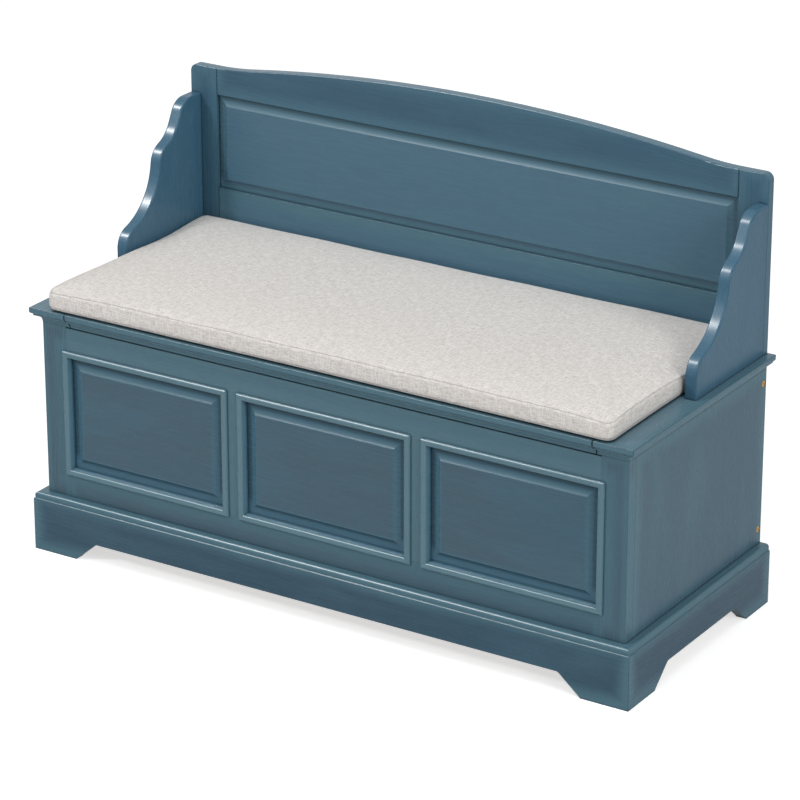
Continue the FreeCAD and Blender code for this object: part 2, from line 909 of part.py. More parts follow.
def rail_dowel_places():
    """Dowels from the backrest's rails into its right stile."""
    levels = [seat_height + share * (bottom_rail_high - seat_height) for share in low_rail_dowel_shares]
    levels.append(top_rail_low + top_rail_dowel_share * (stile_height - top_rail_low))
    return [(vec(stile_inner, back_middle, level), rightward, dowel_depth) for level in levels]


def joint_grooves():
    """Small V grooves on the face, where the rails meet the stiles."""
    corners = [
        (stile_inner - joint_groove, back_face - overrun, 0),
        (stile_inner - joint_groove, back_face, 0),
        (stile_inner, back_face + joint_groove, 0),
        (stile_inner + joint_groove, back_face, 0),
        (stile_inner + joint_groove, back_face - overrun, 0),
    ]
    cutters = []
    for low, high in ((seat_height, bottom_rail_high), (top_rail_low, crown_height)):
        cutters.append(prism(rounded_wire(lying(low), corners), vec(0, 0, high - low)))
    return both_sides(cutters)


def back_stile(cutters):
    corners = [
        (stile_inner, seat_height, 0),
        (body_half, seat_height, 0),
        (body_half, stile_height, stile_corner),
        (stile_inner, stile_height, 0),
    ]
    solid = prism(rounded_wire(facing_front(back_face), corners), vec(0, back_thickness, 0))

    def outer_front(edge):
        on_face = at(edge, 1, back_face) and edge.BoundBox.ZMax > seat_height
        return on_face and not at(edge, 0, stile_inner)

    solid = eased(solid, back_round, outer_front)
    return cut_all(solid, cutters + dowel_holes(rail_dowel_places() + [stile_dowel_place()])
                   + arm_screw_holes())


def crown_edges(place):
    """The top rail's upper edge: a shallow crown that turns level at each stile by a reverse curve."""
    drop = crown_height - stile_height
    turn = 2 * math.atan(drop / stile_inner)
    radii = stile_inner / math.sin(turn)
    radius = crown_share * radii
    reverse = radii - radius
    change = (radius * math.sin(turn), crown_height - radius * (1 - math.cos(turn)))
    half = turn / 2
    bend = (stile_inner - reverse * math.sin(half), stile_height + reverse * (1 - math.cos(half)))
    crown = arc(place, (-change[0], change[1]), (0, crown_height), change)
    right = arc(place, change, bend, (stile_inner, stile_height))
    left = arc(place, (-stile_inner, stile_height), (-bend[0], bend[1]), (-change[0], change[1]))
    return [left, crown, right]


def top_rail(cutters):
    place = facing_front(back_face)
    edges = crown_edges(place) + [
        line(place, (stile_inner, stile_height), (stile_inner, top_rail_low)),
        line(place, (stile_inner, top_rail_low), (-stile_inner, top_rail_low)),
        line(place, (-stile_inner, top_rail_low), (-stile_inner, stile_height)),
    ]
    solid = outline_prism(edges, vec(0, back_thickness, 0))

    def crown_front(edge):
        on_face = at(edge, 1, back_face) and edge.BoundBox.ZMin > top_rail_low
        return on_face and edge.BoundBox.XLength > back_thickness

    solid = eased(solid, back_round, crown_front)
    return cut_all(solid, cutters)


def make_backrest():
    groove = groove_ring(-stile_inner, stile_inner, bottom_rail_high, top_rail_low,
                         back_panel_recess, back_face)
    cutters = [groove] + joint_grooves()
    save_pair("back_stile", back_stile(cutters))
    rail_holes = dowel_holes(mirrored_places(rail_dowel_places()))
    save("back_rail_top", [top_rail(cutters + rail_holes)])
    low_rail = board((-stile_inner, back_face, seat_height), (stile_inner, rear, bottom_rail_high))
    low_rail = cut_all(low_rail, cutters + rail_holes + dowel_holes(upright_dowel_places()))
    save("back_rail_bottom", [low_rail])
    panel = raised_panel(-stile_inner, stile_inner, bottom_rail_high, top_rail_low, back_face,
                         back_panel_recess, back_field_recess, 0, back_bevel)
    save("back_panel", [panel])
    frame_dowels = both_sides(dowels(rail_dowel_places() + [stile_dowel_place()]))
    save("back_dowels", frame_dowels + dowels(upright_dowel_places()))


# Arms

arm_middle = body_half - arm_thickness / 2
arm_dowel_shares = (0.28, 0.8)
arm_screw_shares = (0.3, 0.78)
toe_turn = 90 - shoulder_turn + waist_turn - elbow_turn + sweep_turn


def arm_steps():
    """The arm's front edge from the backrest down to the seat, as straights and curves."""
    steps = [
        (top_flat_share, 0),
        (shoulder_radius_share, -shoulder_turn),
        (waist_straight_share, 0),
        (waist_radius_share, waist_turn),
        (elbow_radius_share, -elbow_turn),
        (sweep_straight_share, 0),
        (sweep_radius_share, sweep_turn),
        (toe_radius_share, -toe_turn),
    ]
    return [(share * (arm_height - seat_height), turn) for share, turn in steps]


def walk(start, steps, place):
    """Edges that follow straights and tangent curves; returns them and the last point."""
    edges = []
    point = start
    heading = 0.0
    for size, turn in steps:
        if not turn:
            end = (point[0] - size * math.cos(heading), point[1] + size * math.sin(heading))
            edges.append(line(place, point, end))
            point = end
            continue
        points = [point]
        for _ in range(2):
            chord = 2 * size * math.sin(math.radians(abs(turn)) / 4)
            heading += math.radians(turn) / 4
            last = points[-1]
            points.append((last[0] - chord * math.cos(heading), last[1] + chord * math.sin(heading)))
            heading += math.radians(turn) / 4
        edges.append(arc(place, *points))
        point = points[-1]
    return edges, point


def arm_front():
    """Where the arm's toe stands on the seat."""
    return walk((back_face, arm_height), arm_steps(), facing_side(arm_inner))[1][0]


def arm():
    place = facing_side(arm_inner)
    front, toe = walk((back_face, arm_height), arm_steps(), place)
    edges = front + [
        line(place, toe, (toe[0], seat_height)),
        line(place, (toe[0], seat_height), (back_face, seat_height)),
        line(place, (back_face, seat_height), (back_face, arm_height)),
    ]
    solid = outline_prism(edges, vec(arm_thickness, 0, 0))

    def front_edge(edge):
        on_face = at(edge, 0, arm_inner) or at(edge, 0, body_half)
        return on_face and not at(edge, 2, seat_height) and not at(edge, 1, back_face)

    solid = eased(solid, arm_round, front_edge)
    return cut_all(solid, dowel_holes(arm_dowel_places()) + arm_screw_holes())


def arm_dowel_places():
    reach = back_face - arm_front()
    return [(vec(arm_middle, back_face - share * reach, seat_height), upward, dowel_depth)
            for share in arm_dowel_shares]


def arm_screw_points():
    return [vec(arm_middle, rear, seat_height + share * (arm_height - seat_height))
            for share in arm_screw_shares]


def arm_screw_sizes():
    return arm_screw_radius, arm_screw_length, arm_screw_head, arm_screw_head_height


def arm_screw_holes():
    return [screw_hole(point, -rearward, *arm_screw_sizes()) for point in arm_screw_points()]


def make_arms():
    save_pair("arm", arm())
    screws = [screw(point, -rearward, *arm_screw_sizes()) for point in arm_screw_points()]
    save("arm_screws", both_sides(screws))
    save("arm_dowels", both_sides(dowels(arm_dowel_places())))


# Cushion: sections from the bottom up, as shares of the side height and of the rounded edge

cushion_low = seat_height + soft_clearance
cushion_half = arm_inner - cushion_side_gap
cushion_rear = back_face - cushion_back_gap
cushion_front = seat_front + cushion_front_gap
side_section_shares = ((0.0, 1.0), (0.08, 0.3), (0.24, 0.0), (0.55, -0.1), (0.85, 0.15), (1.0, 0.8))
crown_section_shares = ((0.03, 0.3), (0.09, 0.62), (0.22, 0.86), (0.5, 0.97), (0.8, 1.0))


def cushion_section(level, inset):
    """A cushion outline: four rounded corners joined by sides that pull in a little."""
    place = lying(level)
    half = cushion_half - inset
    front = cushion_front + inset
    back = cushion_rear - inset
    radius = min(cushion_corner, (back - front) / 3)
    side = half - radius
    low = front + radius
    high = back - radius
    middle = (front + back) / 2
    lean = radius * math.sqrt(0.5)
    pull = cushion_draw_in
    end_pull = cushion_draw_in * (back - front) / (2 * cushion_half)
    return Part.Wire([
        arc(place, (-side, front), (0, front + pull), (side, front)),
        arc(place, (side, front), (side + lean, low - lean), (half, low)),
        arc(place, (half, low), (half - end_pull, middle), (half, high)),
        arc(place, (half, high), (side + lean, high + lean), (side, back)),
        arc(place, (side, back), (0, back - pull), (-side, back)),
        arc(place, (-side, back), (-side - lean, high + lean), (-half, high)),
        arc(place, (-half, high), (-half + end_pull, middle), (-half, low)),
        arc(place, (-half, low), (-side - lean, low - lean), (-side, front)),
    ])


def cushion():
    """Upright sides with rounded edges, and a crowned top."""
    sections = [cushion_section(cushion_low + height * cushion_side_height, inset * cushion_edge_round)
                for height, inset in side_section_shares]
    last_inset = side_section_shares[-1][1] * cushion_edge_round
    crown_run = (cushion_rear - cushion_front) / 2 - last_inset
    for run, rise in crown_section_shares:
        level = cushion_low + cushion_side_height + rise * cushion_crown
        sections.append(cushion_section(level, last_inset + run * crown_run))
    return Part.makeLoft(sections, True, True)


def make_all():
    os.makedirs("parts", exist_ok=True)
    make_plinth()
    make_chest()
    make_front()
    make_seat()
    make_hinges()
    make_backrest()
    make_arms()
    save("cushion", [cushion()])


make_all()
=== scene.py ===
"""Dresses a lift-lid storage bench: brushed paint, bare wood, metal, felt and a stuffed linen cushion."""

import math
from collections import namedtuple

import bmesh
import bpy
import numpy as np
from mathutils import Matrix, Vector


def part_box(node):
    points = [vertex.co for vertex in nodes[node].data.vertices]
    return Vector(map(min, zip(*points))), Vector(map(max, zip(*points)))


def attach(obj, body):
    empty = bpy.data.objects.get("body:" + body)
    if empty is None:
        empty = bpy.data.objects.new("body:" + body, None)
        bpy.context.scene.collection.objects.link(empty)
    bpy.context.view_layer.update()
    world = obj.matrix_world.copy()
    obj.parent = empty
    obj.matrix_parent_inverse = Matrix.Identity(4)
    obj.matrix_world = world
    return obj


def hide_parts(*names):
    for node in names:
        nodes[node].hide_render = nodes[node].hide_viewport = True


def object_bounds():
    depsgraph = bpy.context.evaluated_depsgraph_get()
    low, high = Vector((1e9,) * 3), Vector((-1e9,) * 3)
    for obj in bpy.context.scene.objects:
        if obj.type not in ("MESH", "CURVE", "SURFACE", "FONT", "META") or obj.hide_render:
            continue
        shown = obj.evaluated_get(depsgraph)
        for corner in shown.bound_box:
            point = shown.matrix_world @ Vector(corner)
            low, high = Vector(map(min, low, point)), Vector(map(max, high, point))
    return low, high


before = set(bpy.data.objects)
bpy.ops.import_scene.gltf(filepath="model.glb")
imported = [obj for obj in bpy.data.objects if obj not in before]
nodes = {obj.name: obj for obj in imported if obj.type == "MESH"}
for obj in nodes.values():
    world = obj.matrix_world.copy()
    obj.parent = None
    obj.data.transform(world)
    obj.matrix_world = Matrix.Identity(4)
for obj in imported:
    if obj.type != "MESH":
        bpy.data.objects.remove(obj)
cad_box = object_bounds()

bl_info = {
    "name": "Storage bench finish",
    "version": (1, 0, 0),
    "blender": (4, 5, 0),
    "location": "View3D > Sidebar > Bench",
    "description": "Paints the bench's boards, finishes its hardware, stuffs its cushion and lights it",
    "category": "Object",
}

# Pieces by finish; each painted board is listed with the direction of its grain
along_width = (1.0, 0.0, 0.0)
along_depth = (0.0, 1.0, 0.0)
along_height = (0.0, 0.0, 1.0)
all_ways = (1.0, 1.0, 1.0)


def each_side(board, grain, sides=("left", "right")):
    """The boards that are named after their sides, all with the same grain."""
    return {f"{board}_{side}": grain for side in sides}


three_places = ("left", "centre", "right")
front_frame = {"front_rail_bottom": along_width, **each_side("front_stile", along_height)}
light_frame = {"front_rail_top": along_width, **each_side("front_muntin", along_height)}
front_panels = each_side("front_panel", along_width, three_places)
panel_mouldings = each_side("panel_moulding", all_ways, three_places)
plinth_boards = {"plinth_front": along_width, **each_side("plinth_side", along_depth)}
chest_boards = {**each_side("side_panel", along_height), "back_board": along_width}
seat_boards = {
    "lid_board": along_width,
    **each_side("seat_strip", along_depth),
    "seat_rear_rail": along_width,
}
back_boards = {**each_side("back_stile", along_height), "back_rail_top": along_width}
low_back_boards = {"back_rail_bottom": along_width}
back_panels = {"back_panel": along_width}
arm_boards = each_side("arm", along_height)
bare_boards = {
    "box_floor": along_width,
    "corner_blocks": along_height,
    "lid_battens": along_depth,
    "plinth_back_rail": along_width,
}
dowel_nodes = ("arm_dowels", "back_dowels", "front_dowels", "strip_dowels")
brass_nodes = ("body_bolts",)
steel_nodes = (
    "arm_screws", "barrel_nuts", "batten_screws", "hinge_fixed_leaves", "hinge_lid_screws",
    "hinge_moving_leaves", "hinge_pins", "hinge_rail_screws",
)
felt_nodes = ("lid_bumpers",)


# Settings that a user would change

def colour_property(name, description, default):
    return bpy.props.FloatVectorProperty(name=name, description=description, default=default,
                                         subtype="COLOR", size=3, min=0.0, max=1.0)


def length_property(name, description, default):
    return bpy.props.FloatProperty(name=name, description=description, default=default,
                                   min=0.0, unit="LENGTH", subtype="DISTANCE")


def share_property(name, description, default):
    return bpy.props.FloatProperty(name=name, description=description, default=default,
                                   min=0.0, max=1.0, subtype="FACTOR")


def angle_property(name, description, degrees):
    return bpy.props.FloatProperty(name=name, description=description, default=math.radians(degrees),
                                   unit="ROTATION", subtype="ANGLE")


def power_property(name, description, default):
    return bpy.props.FloatProperty(name=name, description=description, default=default,
                                   min=0.0, unit="POWER")


class BenchPaint(bpy.types.PropertyGroup):
    rim_colour: colour_property("Rim colour", "Paint where the glaze is rubbed thin, along rims",
                                (0.080, 0.170, 0.218))
    glaze_colour: colour_property("Glaze colour", "Paint under the full glaze, in the middle of a board",
                                  (0.067, 0.122, 0.161))
    blue_colour: colour_property("Blue colour", "Bluer clouds where the paint lies thicker",
                                 (0.040, 0.132, 0.210))
    # Also the colour of the painted light on panel bevels that face up or to the right
    moulding_colour: colour_property("Moulding colour", "Lighter paint of the panel mouldings",
                                     (0.118, 0.215, 0.262))
    light_colour: colour_property("Light colour", "Thin glaze beside the mouldings on the inner rails",
                                  (0.095, 0.186, 0.232))
    bevel_colour: colour_property("Bevel colour", "Bluer paint on the bevels of the panels",
                                  (0.070, 0.160, 0.224))
    side_colour: colour_property("Side colour", "Glaze of the chest's sides and back",
                                 (0.064, 0.126, 0.174))
    top_colour: colour_property("Top colour", "Lighter paint of the lid and the strips beside it",
                                (0.118, 0.208, 0.264))
    plinth_colour: colour_property("Plinth colour", "Darker glaze of the plinth",
                                   (0.040, 0.087, 0.130))
    back_rim_colour: colour_property("Back rim colour", "Thin glaze along the rims of the backrest's frame",
                                     (0.062, 0.142, 0.198))
    back_colour: colour_property("Back colour", "Darker glaze of the backrest's frame",
                                 (0.043, 0.102, 0.154))
    backrest_colour: colour_property("Backrest colour", "Bluer glaze of the backrest's panel and low rail",
                                     (0.074, 0.155, 0.220))
    arm_colour: colour_property("Arm colour", "Bluer glaze along the arms' edges",
                                (0.050, 0.128, 0.196))
    arm_face_colour: colour_property("Arm face colour", "Bluer glaze of the arms' faces",
                                     (0.062, 0.143, 0.212))
    # Dark glaze of joints and streaks, and the colour of the painted shade in corners and on panel bevels
    joint_and_shade_colour: colour_property("Joint and shade colour", "Glaze that gathers in corners and along joints",
                                   (0.006, 0.016, 0.024))
    # Edges: paint wear and a painted highlight
    edge_wear_and_highlight_colour: colour_property("Edge wear and highlight colour", "Paint rubbed light on the edges",
                                 (0.12, 0.22, 0.27))
    rim_width: length_property("Rim width", "How far the thin glaze reaches in from a rim", 0.030)
    line_width: length_property("Line width", "Width of the dark line along a joint", 0.0014)
    # Painted shade in corners and recesses: its reach and strength
    corner_reach: length_property("Corner reach", "How far the gathered glaze comes out of a corner", 0.005)
    corner_share: share_property("Corner share", "Strength of the gathered glaze in a corner", 0.6)
    edge_radius: length_property("Edge radius", "Rounding that sharp edges are shaded with", 0.0008)
    grain_depth: length_property("Grain depth", "Depth of the grain that shows through the paint", 0.00002)
    # Painted light and shade on the panel bevels
    relief_share: share_property("Relief share", "Strength of the glaze and the wear on panel bevels", 0.5)
    streak_share: share_property("Streak share", "Strength of the dark brush streaks", 0.03)
    roughness: share_property("Roughness", "Roughness of the satin topcoat", 0.27)
    shine: share_property("Shine", "Strength of the topcoat's reflections", 0.2)


class BenchHardware(bpy.types.PropertyGroup):
    brass_colour: colour_property("Brass colour", "Brass plating of the bolts", (0.80, 0.47, 0.12))
    steel_colour: colour_property("Steel colour", "Zinc plating of the hinges and screws",
                                  (0.60, 0.61, 0.60))
    felt_colour: colour_property("Felt colour", "Felt of the bumpers", (0.10, 0.09, 0.08))


class BenchWood(bpy.types.PropertyGroup):
    early_colour: colour_property("Early wood", "Pale wood between the growth lines", (0.58, 0.41, 0.25))
    late_colour: colour_property("Late wood", "Darker wood of the growth lines", (0.40, 0.25, 0.13))
    dowel_colour: colour_property("Dowel wood", "Plain wood of the dowels", (0.60, 0.43, 0.26))
    # Painted shade in the bare wood's corners
    wood_shade_colour: colour_property("Wood shade colour", "Dust in the corners of the bare wood", (0.05, 0.03, 0.02))


class BenchCushion(bpy.types.PropertyGroup):
    thread_colour: colour_property("Thread colour", "The cloth's main thread", (0.76, 0.72, 0.68))
    slub_colour: colour_property("Slub colour", "Thicker, darker threads", (0.50, 0.465, 0.43))
    pale_colour: colour_property("Pale colour", "Thin, pale threads", (0.90, 0.875, 0.85))
    seam_colour: colour_property("Seam colour", "Shaded cloth in the seams", (0.26, 0.235, 0.215))
    start_inset: length_property("Start inset", "How much smaller the blank is on each side", 0.002)
    crown: length_property("Crown", "How far the top may rise when stuffed", 0.007)
    top_round: length_property("Top round", "Rounding of the blank's upper edges", 0.007)
    low_round: length_property("Low round", "Rounding of the blank's lower edges", 0.004)
    corner_round: length_property("Corner round", "Rounding of the blank's upright corners", 0.013)
    voxel: length_property("Voxel", "Mesh size that the blank is rebuilt with", 0.006)
    top_seam: length_property("Top seam", "Height of the upper seam over the seat", 0.0345)
    low_seam: length_property("Low seam", "Height of the lower seam over the seat", 0.006)
    seam_depth: length_property("Seam depth", "How far a seam is pulled in", 0.0016)
    seam_width: length_property("Seam width", "Width of the hollow along a seam", 0.0032)
    side_pull: length_property("Side pull", "How far the sides pull in between the corners", 0.002)
    left_ear: length_property("Left ear", "How far the front left corner stands out", 0.007)
    dent: length_property("Dent", "Depth of the two dents beside the arms", 0.006)
    corner_droop_share: share_property("Corner droop", "How much lower the cushion is at its front corners",
                                       0.17)
    thread_pitch: length_property("Thread pitch", "Distance between the cloth's threads", 0.0016)
    fill_share: share_property("Fill", "How full the cushion is stuffed", 0.85)


class BenchStudio(bpy.types.PropertyGroup):
    camera_target: bpy.props.FloatVectorProperty(
        name="Camera target", description="Point that the camera looks at", default=(0.018, -0.0164, 0.3125),
        subtype="TRANSLATION", unit="LENGTH", size=3)
    camera_distance: length_property("Camera distance", "From the target to the camera", 5.972)
    camera_turn: angle_property("Camera turn", "How far right of the front it stands", 32.3)
    camera_rise: angle_property("Camera rise", "How far above the target it stands", 22.19)
    lens: bpy.props.FloatProperty(name="Lens", description="Focal length on a 36 mm sensor",
                                  default=171.0, min=1.0, unit="CAMERA")
    floor_colour: colour_property("Floor colour", "Plain pale floor", (0.72, 0.72, 0.72))
    floor_size: length_property("Floor size", "Width of the floor", 60.0)
    key_power: power_property("Key power", "Power of the lamp at the front left", 44.0)
    top_power: power_property("Top power", "Power of the lamp overhead", 26.0)
    fill_power: power_property("Fill power", "Power of the lamp at the right", 155.0)
    gloss_power: power_property("Gloss power", "Power of the strip seen in reflections", 420.0)
    ambient: share_property("Ambient", "Strength of the even light from all round", 0.42)
    floor_glow: share_property("Floor glow", "White added to the floor where the camera sees it", 0.62)
    floor_shine: share_property("Floor shine", "White added to the floor where it is mirrored", 0.15)


# Building blocks for node trees

# A smooth change from low at start to high at end
Ramp = namedtuple("Ramp", "start end low high", defaults=(0.0, 1.0))
# A cloudy pattern: its scale per metre, its octaves and how rough they are
Noise = namedtuple("Noise", "scale detail roughness")

whole_ramp = Ramp(0.0, 1.0)
white = (1.0, 1.0, 1.0)
# The middle of a cloudy pattern's values
middle_share = 0.5

# The mix node's numbered sockets for colours
mix_share_socket = 0
mix_first_socket = 6
mix_second_socket = 7
mix_colour_socket = 2


def feed(tree, socket, value):
    """Links a socket to another one, or sets its value; a colour gets its alpha here."""
    if isinstance(value, bpy.types.NodeSocket):
        tree.links.new(value, socket)
    elif value is not None:
        socket.default_value = (*value, 1.0) if socket.type == "RGBA" else value


def make_node(tree, kind, inputs=(), **settings):
    """A node with its settings, and its inputs fed by name or number from sockets or values."""
    made = tree.nodes.new(kind)
    for name, value in settings.items():
        setattr(made, name, value)
    for key, value in dict(inputs).items():
        feed(tree, made.inputs[key], value)
    return made


def calculate(tree, operation, first, second=None, third=None):
    made = make_node(tree, "ShaderNodeMath", {0: first, 1: second, 2: third}, operation=operation)
    return made.outputs[0]


def calculate_vector(tree, operation, first, second=None, third=None):
    made = make_node(tree, "ShaderNodeVectorMath", {0: first, 1: second, 2: third}, operation=operation)
    return made.outputs[0]


def split(tree, vector):
    """A vector's three parts."""
    return make_node(tree, "ShaderNodeSeparateXYZ", {0: vector}).outputs


def evenly(value):
    return (value, value, value)


def fade(tree, value, ramp):
    made = make_node(tree, "ShaderNodeMapRange",
                     {"Value": value, "From Min": ramp.start, "From Max": ramp.end,
                      "To Min": ramp.low, "To Max": ramp.high},
                     interpolation_type="SMOOTHSTEP")
    return made.outputs[0]


def blend_colours(tree, share, first, second):
    made = make_node(tree, "ShaderNodeMix", data_type="RGBA")
    feed(tree, made.inputs[mix_share_socket], share)
    feed(tree, made.inputs[mix_first_socket], first)
    feed(tree, made.inputs[mix_second_socket], second)
    return made.outputs[mix_colour_socket]


def cloud_node(tree, place, noise):
    return make_node(tree, "ShaderNodeTexNoise", {
        "Vector": place, "Scale": noise.scale, "Detail": noise.detail, "Roughness": noise.roughness})


def cloud(tree, place, noise):
    return cloud_node(tree, place, noise).outputs[0]


def object_place(tree):
    return make_node(tree, "ShaderNodeTexCoord").outputs["Object"]


# The kinds of a group's sockets
number_kind = "NodeSocketFloat"
vector_kind = "NodeSocketVector"
colour_kind = "NodeSocketColor"


def new_group(name, inputs, outputs):
    """A shader node group with sockets named by kind; gives the tree, its inputs and its outputs."""
    tree = bpy.data.node_groups.new(name, "ShaderNodeTree")
    for direction, sockets in (("INPUT", inputs), ("OUTPUT", outputs)):
        for kind, socket_names in sockets.items():
            for socket_name in socket_names:
                tree.interface.new_socket(name=socket_name, in_out=direction, socket_type=kind)
    taken = tree.nodes.new("NodeGroupInput").outputs
    given = tree.nodes.new("NodeGroupOutput").inputs
    return tree, taken, given


def place_group(tree, name, values):
    made = tree.nodes.new("ShaderNodeGroup")
    made.node_tree = bpy.data.node_groups[name]
    for key, value in values.items():
        feed(tree, made.inputs[key], value)
    return made.outputs


def new_material(name):
    """A material, with its node tree and its shader."""
    material = bpy.data.materials.new(name)
    material.use_nodes = True
    return material, material.node_tree, material.node_tree.nodes["Principled BSDF"]


def finish_surface(tree, shader, tone, gloss, height, depth, normal=None):
    """Gives a shader its colour and roughness, and a relief of some depth over its normal."""
    bump = make_node(tree, "ShaderNodeBump", {"Height": height, "Distance": depth, "Normal": normal})
    feed(tree, shader.inputs["Base Color"], tone)
    feed(tree, shader.inputs["Roughness"], gloss)
    feed(tree, shader.inputs["Normal"], bump.outputs[0])


def shade_corners(tree, tone, reach, share, dark):
    """A tone that turns dark by some share in corners."""
    shade = place_group(tree, "Corner shade", {"Reach": reach})["Shade"]
    return blend_colours(tree, calculate(tree, "MULTIPLY", shade, share), tone, dark)


# Effects that several finishes share

# Openness at which the shade of a corner begins and is full
corner_ramp = Ramp(0.92, 0.45)
corner_samples = 8

# Match of the rounded and the flat normal at which an edge begins and is full
edge_ramp = Ramp(0.995, 0.86)
edge_samples = 4

# How far short of 1 a normal may fall and still count as square to its axis
tilt_share = 0.15
# Distance to the next box where there is only one
far_pitch = 100.0

# Raised panels, with painted shade and light: where the painted shade ends on a bevel, where it begins over
# the lower rim, and the slopes at which a face counts as looking down (shaded), up or sideways (lit)
foot_ramp = Ramp(0.65, 0.3)
lift_ramp = Ramp(0.8, 1.3)
under_ramp = Ramp(-0.2, -0.45)
above_ramp = Ramp(0.2, 0.45)
beside_ramp = Ramp(0.3, 0.5, 0.0, 0.6)

# Brush streaks: their sway, how much they are squeezed along the grain, and their patterns
sway_noise = Noise(6.0, 1.0, 0.5)
sway_size = 0.02
drawn_share = 0.045
loose_share = 0.3
streak_noise = Noise(260.0, 3.0, 0.6)
band_noise = Noise(55.0, 2.0, 0.5)
cloud_noise = Noise(16.0, 2.0, 0.5)
drift_noise = Noise(5.0, 1.0, 0.5)
pore_noise = Noise(1100.0, 2.0, 0.6)


def build_corner_group():
    """Painted shade in corners and along joints: darker where the surface is less open."""
    tree, taken, given = new_group("Corner shade", {number_kind: ["Reach"]}, {number_kind: ["Shade"]})
    openness = make_node(tree, "ShaderNodeAmbientOcclusion", {"Distance": taken["Reach"]},
                         samples=corner_samples)
    feed(tree, given["Shade"], fade(tree, openness.outputs["AO"], corner_ramp))


def build_edge_group():
    """Rounds sharp edges in the shading, and finds them for a lighter colour: paint wear and a painted
    highlight.
    """
    tree, taken, given = new_group("Rounded edges", {number_kind: ["Radius"]},
                                   {vector_kind: ["Normal"], number_kind: ["Edge"]})
    rounded = make_node(tree, "ShaderNodeBevel", {"Radius": taken["Radius"]}, samples=edge_samples)
    face = make_node(tree, "ShaderNodeNewGeometry").outputs["Normal"]
    match = make_node(tree, "ShaderNodeVectorMath", {0: rounded.outputs[0], 1: face},
                      operation="DOT_PRODUCT").outputs["Value"]
    feed(tree, given["Normal"], rounded.outputs[0])
    feed(tree, given["Edge"], fade(tree, match, edge_ramp))


def build_zone_group():
    """Distance from the rims of a box, repeated across the width, and height over its lowest rim."""
    tree, taken, given = new_group(
        "Rim distance",
        {vector_kind: ["Centre", "Half size"], number_kind: ["Pitch", "Repeats", "Facing share"]},
        {number_kind: ["Distance", "Rise"]})
    coordinates = make_node(tree, "ShaderNodeTexCoord")
    place = calculate_vector(tree, "SUBTRACT", coordinates.outputs["Object"], taken["Centre"])
    apart = split(tree, place)
    count = calculate(tree, "ROUND", calculate(tree, "DIVIDE", apart[0], taken["Pitch"]))
    low = calculate(tree, "MULTIPLY", taken["Repeats"], -1.0)
    count = calculate(tree, "MAXIMUM", calculate(tree, "MINIMUM", count, taken["Repeats"]), low)
    across = calculate(tree, "SUBTRACT", apart[0], calculate(tree, "MULTIPLY", count, taken["Pitch"]))
    folded = make_node(tree, "ShaderNodeCombineXYZ", {0: across, 1: apart[1], 2: apart[2]})
    reach = calculate_vector(tree, "ABSOLUTE", folded.outputs[0])
    inside = calculate_vector(tree, "SUBTRACT", taken["Half size"], reach)
    facing = calculate_vector(tree, "ABSOLUTE", coordinates.outputs["Normal"])
    facing = calculate_vector(tree, "ADD", facing, evenly(tilt_share))
    square = make_node(tree, "ShaderNodeVectorMath",
                       {0: calculate_vector(tree, "FLOOR", facing), "Scale": taken["Facing share"]},
                       operation="SCALE").outputs[0]
    gaps = split(tree, calculate_vector(tree, "ADD", inside, square))
    nearest = calculate(tree, "MINIMUM", gaps[0], gaps[1])
    feed(tree, given["Distance"], calculate(tree, "MINIMUM", nearest, gaps[2]))
    feed(tree, given["Rise"], split(tree, calculate_vector(tree, "ADD", place, taken["Half size"]))[2])


def build_relief_group():
    """Masks of a raised panel: painted shade at the foot of its bevels and on faces that look down, and
    painted light on faces that look up or to the right.
    """
    tree, taken, given = new_group(
        "Panel relief", {number_kind: ["Distance", "Rise", "Foot", "Field"]},
        {number_kind: ["Gathered", "Painted light"]})
    turned = split(tree, make_node(tree, "ShaderNodeTexCoord").outputs["Normal"])
    run = calculate(tree, "SUBTRACT", taken["Distance"], taken["Foot"])
    bevel = calculate(tree, "SUBTRACT", taken["Field"], taken["Foot"])
    foot = fade(tree, calculate(tree, "DIVIDE", run, bevel), foot_ramp)
    lifted = fade(tree, calculate(tree, "DIVIDE", taken["Rise"], taken["Field"]), lift_ramp)
    foot = calculate(tree, "MULTIPLY", foot, lifted)
    under = fade(tree, turned[2], under_ramp)
    feed(tree, given["Gathered"], calculate(tree, "MAXIMUM", foot, under))
    above = fade(tree, turned[2], above_ramp)
    beside = fade(tree, turned[0], beside_ramp)
    feed(tree, given["Painted light"], calculate(tree, "MAXIMUM", above, beside))


def build_streak_group():
    """Brush streaks and soft clouds that are drawn out along the grain, with a slight wobble."""
    tree, taken, given = new_group(
        "Brush streaks", {vector_kind: ["Grain", "Seed"]},
        {number_kind: ["Streaks", "Bands", "Clouds", "Drifts", "Pores"]})
    place = calculate_vector(tree, "ADD", object_place(tree), taken["Seed"])
    sway = cloud_node(tree, place, sway_noise).outputs["Color"]
    sway = calculate_vector(tree, "SUBTRACT", sway, evenly(middle_share))
    sway = calculate_vector(tree, "MULTIPLY", sway, evenly(sway_size))
    swayed = calculate_vector(tree, "ADD", place, sway)
    across = calculate_vector(tree, "SUBTRACT", all_ways, taken["Grain"])
    fine = calculate_vector(tree, "MULTIPLY_ADD", taken["Grain"], evenly(drawn_share), across)
    broad = calculate_vector(tree, "MULTIPLY_ADD", taken["Grain"], evenly(loose_share), across)
    drawn = calculate_vector(tree, "MULTIPLY", swayed, fine)
    loose = calculate_vector(tree, "MULTIPLY", swayed, broad)
    feed(tree, given["Streaks"], cloud(tree, drawn, streak_noise))
    feed(tree, given["Bands"], cloud(tree, drawn, band_noise))
    feed(tree, given["Clouds"], cloud(tree, loose, cloud_noise))
    feed(tree, given["Drifts"], cloud(tree, loose, drift_noise))
    feed(tree, given["Pores"], cloud(tree, drawn, pore_noise))


# Glazed paint

